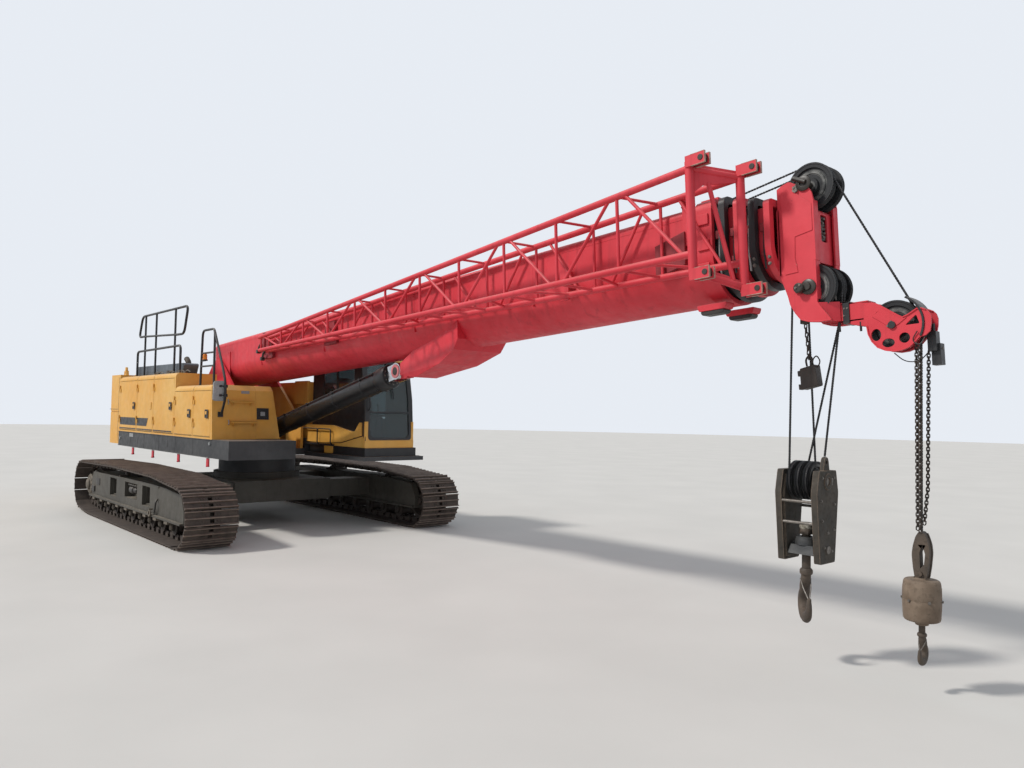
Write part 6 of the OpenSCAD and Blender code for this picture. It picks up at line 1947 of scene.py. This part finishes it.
bm = bmesh.new()
for side in (-1, 1):
    for z in (-0.1, 0.12, 0.36):
        add_box(bm, (11.6, side * 0.452, z - 0.05), (11.72, side * 0.468, z + 0.05))
    add_prism(bm, rounded_outline([(11.42, 0.16), (11.56, 0.16), (11.56, 0.69), (11.42, 0.67)], 0.03),
        side * 0.421, side * 0.44)
    add_ring(bm, [(0, 0), (0.036, 0), (0.036, 0.04), (0.028, 0.045), (0, 0.045)],
        (11.49, side * 0.438, 0.61), (0, side, 0), 18)
    add_box(bm, (11.415, side * 0.421, 0.53), (11.565, side * 0.448, 0.548))
for y in (-0.22, 0.22):
    add_box(bm, (11.55, y - 0.09, 0.556), (11.74, y + 0.09, 0.59))
for y in (-0.235, 0.235):
    add_prism(bm, rounded_outline([(11.47, -0.465), (11.76, -0.465), (11.78, -0.406), (11.45, -0.406)],
        0.02), y - 0.068, y + 0.068)
for side in (-1, 1):
    add_prism(bm, [(-0.25, -0.05), (0.45, -0.2), (0.45, 0.3), (-0.25, 0.3)], side * 0.4205, side * 0.436)
finish_piece(bm, "base_collar_fittings", "boom", paint_red, 0.004, 2, move=on_boom)
bm = bmesh.new()
for y in (-0.235, 0.235):
    add_prism(bm, rounded_outline([(11.5, -0.505), (11.73, -0.505), (11.75, -0.465), (11.48, -0.465)],
        0.02), y - 0.06, y + 0.06)
for side in (-1, 1):
    for z in (0.06, 0.2):
        add_box(bm, (11.735, side * 0.32, z - 0.04), (11.762, side * 0.4, z + 0.04))
finish_piece(bm, "boom_pad_box", "boom", dirty_black, 0.008, 2, move=on_boom)
print("base section dressed")

# %% Collars of the sliding sections
# Each carries bolts, grease lines and a few small red blocks, and moves with its own section
for k in SECTION_SIZES:
    end = BASE_MOUTH + STICK_OUT * k
    half, top = SECTION_SIZES[k]
    body = "section_" + str(k + 1)
    rim_half, rim_high = half + RIM, top + RIM
    bm = bmesh.new()
    for side in (-1, 1):
        for z in (0.36 - 0.03 * k, 0.14, -0.08):
            add_bolt(bm, (end - 0.03, side * (rim_half + 0.001), z), (0, side, 0), 0.014)
            add_bolt(bm, (end - 0.03, side * (rim_half + 0.001), z - 0.06), (0, side, 0), 0.014)
    for y in (-0.18, -0.06, 0.06, 0.18):
        add_bolt(bm, (end - 0.03, y, rim_high + 0.001), (0, 0, 1), 0.014)
    finish_piece(bm, body + "_collar_bolts", body, bolt_steel, move=on_boom)
    bm = bmesh.new()
    for side in (-1, 1):
        add_tube(bm, [(end - 0.075, side * (rim_half - 0.012), 0.42 - 0.03 * k),
            (end - 0.07, side * (rim_half + 0.006), 0.2), (end - 0.078, side * (rim_half + 0.004), -0.02),
            (end - 0.072, side * (rim_half - 0.01), -0.18)], 0.009, 0.05, 8)
    add_box(bm, (end - 0.002, -half * 0.55, rim_high - 0.06), (end + 0.012, half * 0.55, rim_high - 0.02))
    finish_piece(bm, body + "_collar_lines", body, grey_plastic if k % 2 else rubber, 0.002, move=on_boom)
    bm = bmesh.new()
    for side in (-1, 1):
        add_box(bm, (end - 0.11, side * half, 0.16), (end - 0.062, side * (rim_half + 0.012), 0.235))
        add_box(bm, (end - 0.11, side * half, -0.06), (end - 0.062, side * (rim_half + 0.006), -0.02))
    # The blocks take the darkened red, which is painted shade from the jib.
    finish_piece(bm, body + "_collar_blocks", body, red_paint_painted_shade, 0.004, 2, move=on_boom)
print("section collars dressed")

# %% [markdown]
# The hoist ropes run along the top of the boom over waisted rollers between two stands, and hoses
# in clips run along its left side.

# %% Rollers that carry the ropes over the boom, and hose lines
ROLLER_XS = (0.6, 3.6, 6.6, 9.6)
bm = bmesh.new()
for x in ROLLER_XS:
    for side in (-1, 1):
        add_prism(bm, [(x - 0.06, 0.526), (x + 0.06, 0.526), (x + 0.025, 0.585), (x - 0.025, 0.585)],
            side * 0.19 - 0.006, side * 0.19 + 0.006)
finish_piece(bm, "roller_stands", "boom", paint_red, 0.003, 2, move=on_boom)
bm = bmesh.new()
for x in ROLLER_XS:
    add_ring(bm, [(0, -0.18), (0.028, -0.18), (0.028, -0.17), (0.02, -0.165), (0.02, 0.165), (0.028, 0.17),
        (0.028, 0.18), (0, 0.18)], (x, 0, 0.56), (0, 1, 0), 24)
finish_piece(bm, "rope_rollers", "boom", sheave_iron, move=on_boom)
bm = bmesh.new()
for z in (0.3, 0.335):
    add_tube(bm, [(0.2, 0.432, z), (11.2, 0.432, z)], 0.01)
for x in (1.0, 3.0, 5.0, 7.0, 9.0, 11.0):
    add_box(bm, (x - 0.02, 0.421, 0.285), (x + 0.02, 0.447, 0.35))
finish_piece(bm, "boom_hose_lines", "boom", rubber, move=on_boom)

print("rope rollers at", ROLLER_XS)

# %% [markdown]
# The lift cylinder is black, with a gland cap at its mouth, a polished rod and one thin pipe along
# the barrel. Its eye is pinned to the bracket under the boom.

# %% Lift cylinder
FOOT, EYE = Vector((0.7, 0, 1.76)), Vector((5.061, 0, 2.7354))
along = (EYE - FOOT).normalized()
on_lift = placed(FOOT, -math.atan2(along.z, along.x), "Y")
bm = bmesh.new()
add_ring(bm, [(0.12, 3.93), (0.178, 3.93), (0.184, 3.945), (0.184, 4.175), (0.176, 4.195), (0.15, 4.212),
    (0.118, 4.214), (0.116, 4.2)], (0, 0, 0), (1, 0, 0), 56)
add_ring(bm, [(0.16, 0.16), (0.182, 0.16), (0.182, 0.26), (0.176, 0.27), (0.16, 0.27)], (0, 0, 0),
    (1, 0, 0), 56)
add_tube(bm, [(0.34, -0.15, 0.095), (0.42, -0.158, 0.105), (3.8, -0.158, 0.105), (3.9, -0.15, 0.1)], 0.011,
    0.04)
for x in (0.8, 1.7, 2.6, 3.5):
    add_ring(bm, rectangle(0.1695, -0.02, 0.1745, 0.02), (x, 0, 0), (1, 0, 0), 48)
    add_box(bm, (x - 0.02, -0.172, 0.085), (x + 0.02, -0.15, 0.125))
finish_piece(bm, "barrel_gland_and_pipe", "lift_barrel", paint_black, 0.002, 2, move=on_lift)
bm = bmesh.new()
for i in range(12):
    a = 2 * math.pi * i / 12
    add_bolt(bm, (4.212, 0.134 * math.cos(a), 0.134 * math.sin(a)), (1, 0, 0), 0.011)
finish_piece(bm, "gland_bolts", "lift_barrel", bolt_steel, move=on_lift)
bm = bmesh.new()
for side in (-1, 1):
    add_ring(bm, [(0.064, 0.1125), (0.1, 0.1125), (0.104, 0.118), (0.1, 0.124), (0.064, 0.124)], EYE,
        (0, side, 0), 40)
pink_paint = old_paint("pink_paint", (0.62, 0.11, 0.13, 1), (0.72, 0.3, 0.3, 1), (0.5, 0.48, 0.47, 1),
    chips=0.9, edge=0.012)
finish_piece(bm, "eye_rings", "lift_rod", pink_paint, 0.002, 2)
bm = bmesh.new()
for side in (-1, 1):
    add_ring(bm, [(0.0, 0.112), (0.058, 0.112), (0.058, 0.122), (0.046, 0.127), (0.0, 0.12)], EYE,
        (0, side, 0), 28)
finish_piece(bm, "eye_pin_caps", "lift_rod", dirty_black, 0.002, 2)
print("lift cylinder dressed")

# %% [markdown]
# The lattice jib is stowed along the boom's right side. Its end has a plate gusset and a brace
# between the posts, and four forks, greasy inside and bare along their edges, take the pins of
# the next section. The gusset is drawn flat and turned into the plane between the two posts.

# %% Jib: end gusset, brace and the greasy forks
JIB_POSTS = ((11.83, -0.88, -0.26, 0.765), (12.085, -0.485, -0.395, 0.7))
between_posts = on_boom @ Matrix.Translation((11.83, -0.88, 0)) @ Matrix.Rotation(math.atan2(0.395, 0.255),
    4, "Z")
bm = bmesh.new()
add_prism(bm, [(0.02, 0.75), (0.45, 0.695), (0.45, 0.59), (0.3, 0.575), (0.12, 0.555), (0.02, 0.48)],
    -0.008, 0.008)
add_prism(bm, [(0.02, -0.255), (0.45, -0.385), (0.45, -0.3), (0.3, -0.245), (0.02, -0.17)], -0.008, 0.008)
add_tube(bm, [(0.17, 0, 0.58), (0.37, 0, -0.29)], 0.021, 0, 16)
finish_piece(bm, "jib_end_gusset", "boom", paint_red, 0.003, 2, move=between_posts)
bare_edge = raw_metal("bare_edge", (0.3, 0.16, 0.12, 1), (0.5, 0.34, 0.28, 1), 0.0, 0.6, 0.01, 0.05)
greasy, bare = bmesh.new(), bmesh.new()
for (x, y, low, high) in JIB_POSTS:
    for z in (high - 0.01, low + 0.01):
        add_box(greasy, (x + 0.03, y - 0.027, z - 0.036), (x + 0.172, y + 0.027, z + 0.036))
        add_disc(greasy, (x + 0.15, y, z), 0.026, 0.11, (0, 1, 0), 18)
        for side in (-1, 1):
            for edge in (-1, 1):
                add_box(bare, (x + 0.045, y + side * 0.038 - 0.0105, z + edge * 0.0505 - 0.002),
                    (x + 0.19, y + side * 0.038 + 0.0105, z + edge * 0.0505 + 0.002))
            add_box(bare, (x + 0.1895, y + side * 0.038 - 0.0105, z - 0.0525),
                (x + 0.1925, y + side * 0.038 + 0.0105, z + 0.0525))
finish_piece(greasy, "jib_fork_grease", "boom", grease, 0.003, 2, move=on_boom)
finish_piece(bare, "jib_fork_edges", "boom", bare_edge, 0.0, move=on_boom)
bm = bmesh.new()
for x, top in ((2.3, 0.4), (4.6, 0.46)):
    add_prism(bm, rounded_outline([(x - 0.2, -0.02), (x + 0.2, -0.02), (x + 0.14, top * 0.75),
        (x - 0.14, top * 0.75)], 0.03), -0.475, -0.4215)
add_prism(bm, rounded_outline([(2.02, 0.1), (2.12, 0.46), (2.2, 0.47), (2.2, 0.08)], 0.02), -0.5, -0.46)
add_prism(bm, [(11.1, -0.1), (11.45, -0.02), (11.45, 0.3), (11.1, 0.22)], -0.46, -0.4215)
# The brackets take the darkened red, which is painted shade under the jib.
finish_piece(bm, "jib_brackets", "boom", red_paint_painted_shade, 0.005, 2, move=on_boom)
bm = bmesh.new()
for x, z in ((2.16, 0.23), (2.335, 0.08)):
    add_tube(bm, at_y(-0.53, (x - 0.05, z + 0.03), (x - 0.12, z - 0.02), (x - 0.14, z - 0.1)), 0.018, 0.03)
    add_disc(bm, (x - 0.14, -0.53, z - 0.1), 0.036, 0.07, (0, 1, 0), 18)
finish_piece(bm, "jib_rear_pins", "boom", grease, 0.002, move=on_boom)
print("jib dressed")

# %% [markdown]
# The guard rails are one tube bent round each corner, with thinner posts welded in. A tube swept
# along a rounded path gives the bends that square corners would lose.

# %% Guard rails on the roof, and red straps under the deck
RAIL_Y = -1.2
bm = bmesh.new()
add_tube(bm, at_y(RAIL_Y, (-3.85, TALL_ROOF), (-3.85, 3.38), (-1.05, 3.38), (-1.05, TALL_ROOF)), 0.024, 0.1,
    12)
add_tube(bm, at_y(RAIL_Y, (-3.33, 3.7), (-3.77, 3.7), (-3.56, 4.155), (-0.69, 4.14), (-0.88, 3.6),
    (-1.4, 3.61)), 0.024, 0.13, 12)
add_tube(bm, [(-3.4, RAIL_Y, 3.699), (-1.33, RAIL_Y, 3.611)], 0.022, 0, 12)
for x in (-3.33, -2.6, -1.4):
    add_tube(bm, [(x, RAIL_Y, TALL_ROOF + 0.002), (x, RAIL_Y, 4.14)], 0.021, 0, 12)
    add_disc(bm, (x, RAIL_Y, TALL_ROOF + 0.007), 0.045, 0.012, (0, 0, 1), 16)
for x in (-3.85, -1.05):
    add_disc(bm, (x, RAIL_Y, TALL_ROOF + 0.007), 0.045, 0.012, (0, 0, 1), 16)
rails = finish_piece(bm, "bent_roof_rails", "upper", paint_black, 0.0)
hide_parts("roof_rails")
FRONT_RAIL_Y = -1.3
bm = bmesh.new()
add_tube(bm, at_y(FRONT_RAIL_Y, (0.37, LOW_ROOF + 0.002), (0.42, 3.56), (1.01, 3.56),
    (1.03, LOW_ROOF + 0.002)), 0.021, 0.11, 12)
add_tube(bm, at_y(FRONT_RAIL_Y, (1.01, 3.5), (1.39, 2.91), (1.56, 2.61), (1.59, 2.32), (1.425, 2.03)),
    0.021, 0.12, 12)
for z in (2.9, 3.14):
    add_tube(bm, [(0.394, FRONT_RAIL_Y, z), (1.02, FRONT_RAIL_Y, z)], 0.017, 0, 12)
for x in (0.37, 1.03):
    add_slab(bm, x - 0.04, FRONT_RAIL_Y - 0.034, x + 0.04, FRONT_RAIL_Y + 0.034, 0.01, LOW_ROOF + 0.001,
        LOW_ROOF + 0.01, "z")
front = finish_piece(bm, "bent_front_rails", "upper", paint_black, 0.0)
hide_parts("front_rails")
bm = bmesh.new()
for x in (-3.17, -1.82, -0.3, 1.19):
    add_box(bm, (x - 0.055, -1.43, 1.12), (x + 0.055, -1.41, 1.262))
    add_tube(bm, [(x, -1.42, 1.135), (x, -1.42, 1.11)], 0.03, 0, 12)
finish_piece(bm, "deck_straps", "upper", paint_red, 0.003, 2)
print("rails bent")

# %% [markdown]
# A full drum shows its rope as even ridges. They are one wavy profile spun round the axle, which
# looks the same as a wound rope at this size and costs far fewer faces.

# %% Rope wound on the two winch drums
WINCH_X, WINCH_Z, TURNS = (-3.594, -2.744), 1.962, 26
DRUM_RADIUS, DRUM_HALF, WOUND_ROPE = 0.25, 0.3, 0.0115
bm = bmesh.new()
step = 2 * DRUM_HALF / TURNS
profile = [(DRUM_RADIUS - 0.024, -DRUM_HALF)]
for i in range(TURNS):
    start = -DRUM_HALF + i * step
    profile += [(DRUM_RADIUS + WOUND_ROPE * math.sin(math.pi * k / 4), start + step * k / 4)
        for k in range(1, 4)]
    profile.append((DRUM_RADIUS, start + step))
profile.append((DRUM_RADIUS - 0.024, DRUM_HALF))
for x in WINCH_X:
    add_ring(bm, profile, (x, 0, WINCH_Z), (0, 1, 0), 40)
finish_piece(bm, "winch_rope", "upper", rope_steel, 0.0, 1, 60)
bm = bmesh.new()
for x in WINCH_X:
    for side in (-1, 1):
        add_ring(bm, [(0.08, 0.352), (0.3, 0.352), (0.3, 0.36), (0.18, 0.364), (0.08, 0.36)],
            (x, 0, WINCH_Z), (0, side, 0), 40)
finish_piece(bm, "winch_flange_faces", "upper", paint_charcoal, 0.002)
print("winches wound")

# %% [markdown]
# The side frames carry the drive, its hoses and the lashing rings. Small turned and bent pieces
# are enough here, as they sit in shade behind the track, but they break up the flat plate.

# %% Drive covers, hoses and lashing rings on the side frames
dusty_iron = raw_metal("dusty_iron", (0.1, 0.085, 0.065, 1), (0.2, 0.165, 0.13, 1), 0.0, 0.75, 0.02, 0.08)
for side, word in ((-1, "right"), (1, "left")):
    face = side * 2.36
    bm = bmesh.new()
    add_ring(bm, [(0, 0.275), (0.085, 0.275), (0.105, 0.262), (0.11, 0.235), (0.185, 0.225), (0.205, 0.205),
        (0.205, 0.15), (0, 0.15)], (SPROCKET[0], side * TRACK_Y, SPROCKET[1]), (0, side, 0), 40)
    add_bolt_circle(bm, (SPROCKET[0], side * (TRACK_Y + 0.222), SPROCKET[1]), (0, side, 0), 0.155, 12,
        0.014)
    for i in range(ROLLER_COUNT):
        x = REAR_ROLLER[0] + i * (LAST_ROLLER_X - REAR_ROLLER[0]) / (ROLLER_COUNT - 1)
        add_ring(bm, [(0, 0.232), (0.03, 0.232), (0.045, 0.222), (0.052, 0.206), (0, 0.206)],
            (x, side * TRACK_Y, REAR_ROLLER[1]), (0, side, 0), 20)
        middle = face - side * 0.002
        add_box(bm, (x - 0.075, middle - 0.045, 0.3), (x + 0.075, middle + 0.045, 0.352))
    add_ring(bm, [(0.034, -0.012), (0.06, -0.012), (0.06, 0.012), (0.034, 0.012), (0.034, -0.012)],
        (1.43, face + side * 0.07, 0.405), (0, 1, 0), 24)
    add_box(bm, (1.415, face + side * 0.055 - 0.03, 0.452), (1.445, face + side * 0.055 + 0.03, 0.48))
    finish_piece(bm, "drive_and_roller_caps_" + word, "crawler_" + word, dusty_iron, 0.003, 2)
    bm = bmesh.new()
    add_ring(bm, [(0, -0.17), (0.062, -0.17), (0.07, -0.155), (0.07, 0.02), (0.052, 0.03), (0.052, 0.15),
        (0.04, 0.17), (0, 0.17)], (0.13, face - side * 0.075, 0.66), (1, 0, 0), 24)
    for x in (-0.06, 0.05, 0.17, 0.3):
        add_tube(bm, [(x, face - side * 0.05, 0.7), (x + 0.02, face - side * 0.005, 0.755),
            (x + 0.09, face - side * 0.005, 0.76), (x + 0.13, face - side * 0.05, 0.7)], 0.012, 0.04)
    add_slab(bm, -2.43, 0.44, -2.23, 0.56, 0.02, face - side * 0.01 - 0.035, face - side * 0.01 + 0.035)
    add_slab(bm, -2.16, 0.59, -1.9, 0.73, 0.02, face - 0.01, face + 0.01)
    add_tube(bm, [(1.5, face + side * 0.02, 0.42), (1.6, face + side * 0.045, 0.44),
        (1.64, face + side * 0.045, 0.6), (1.6, face + side * 0.005, 0.64)], 0.014, 0.05)
    finish_piece(bm, "hoses_and_couplings_" + word, "crawler_" + word, dirty_black, 0.004, 2)
    print("side frame dressed", word)
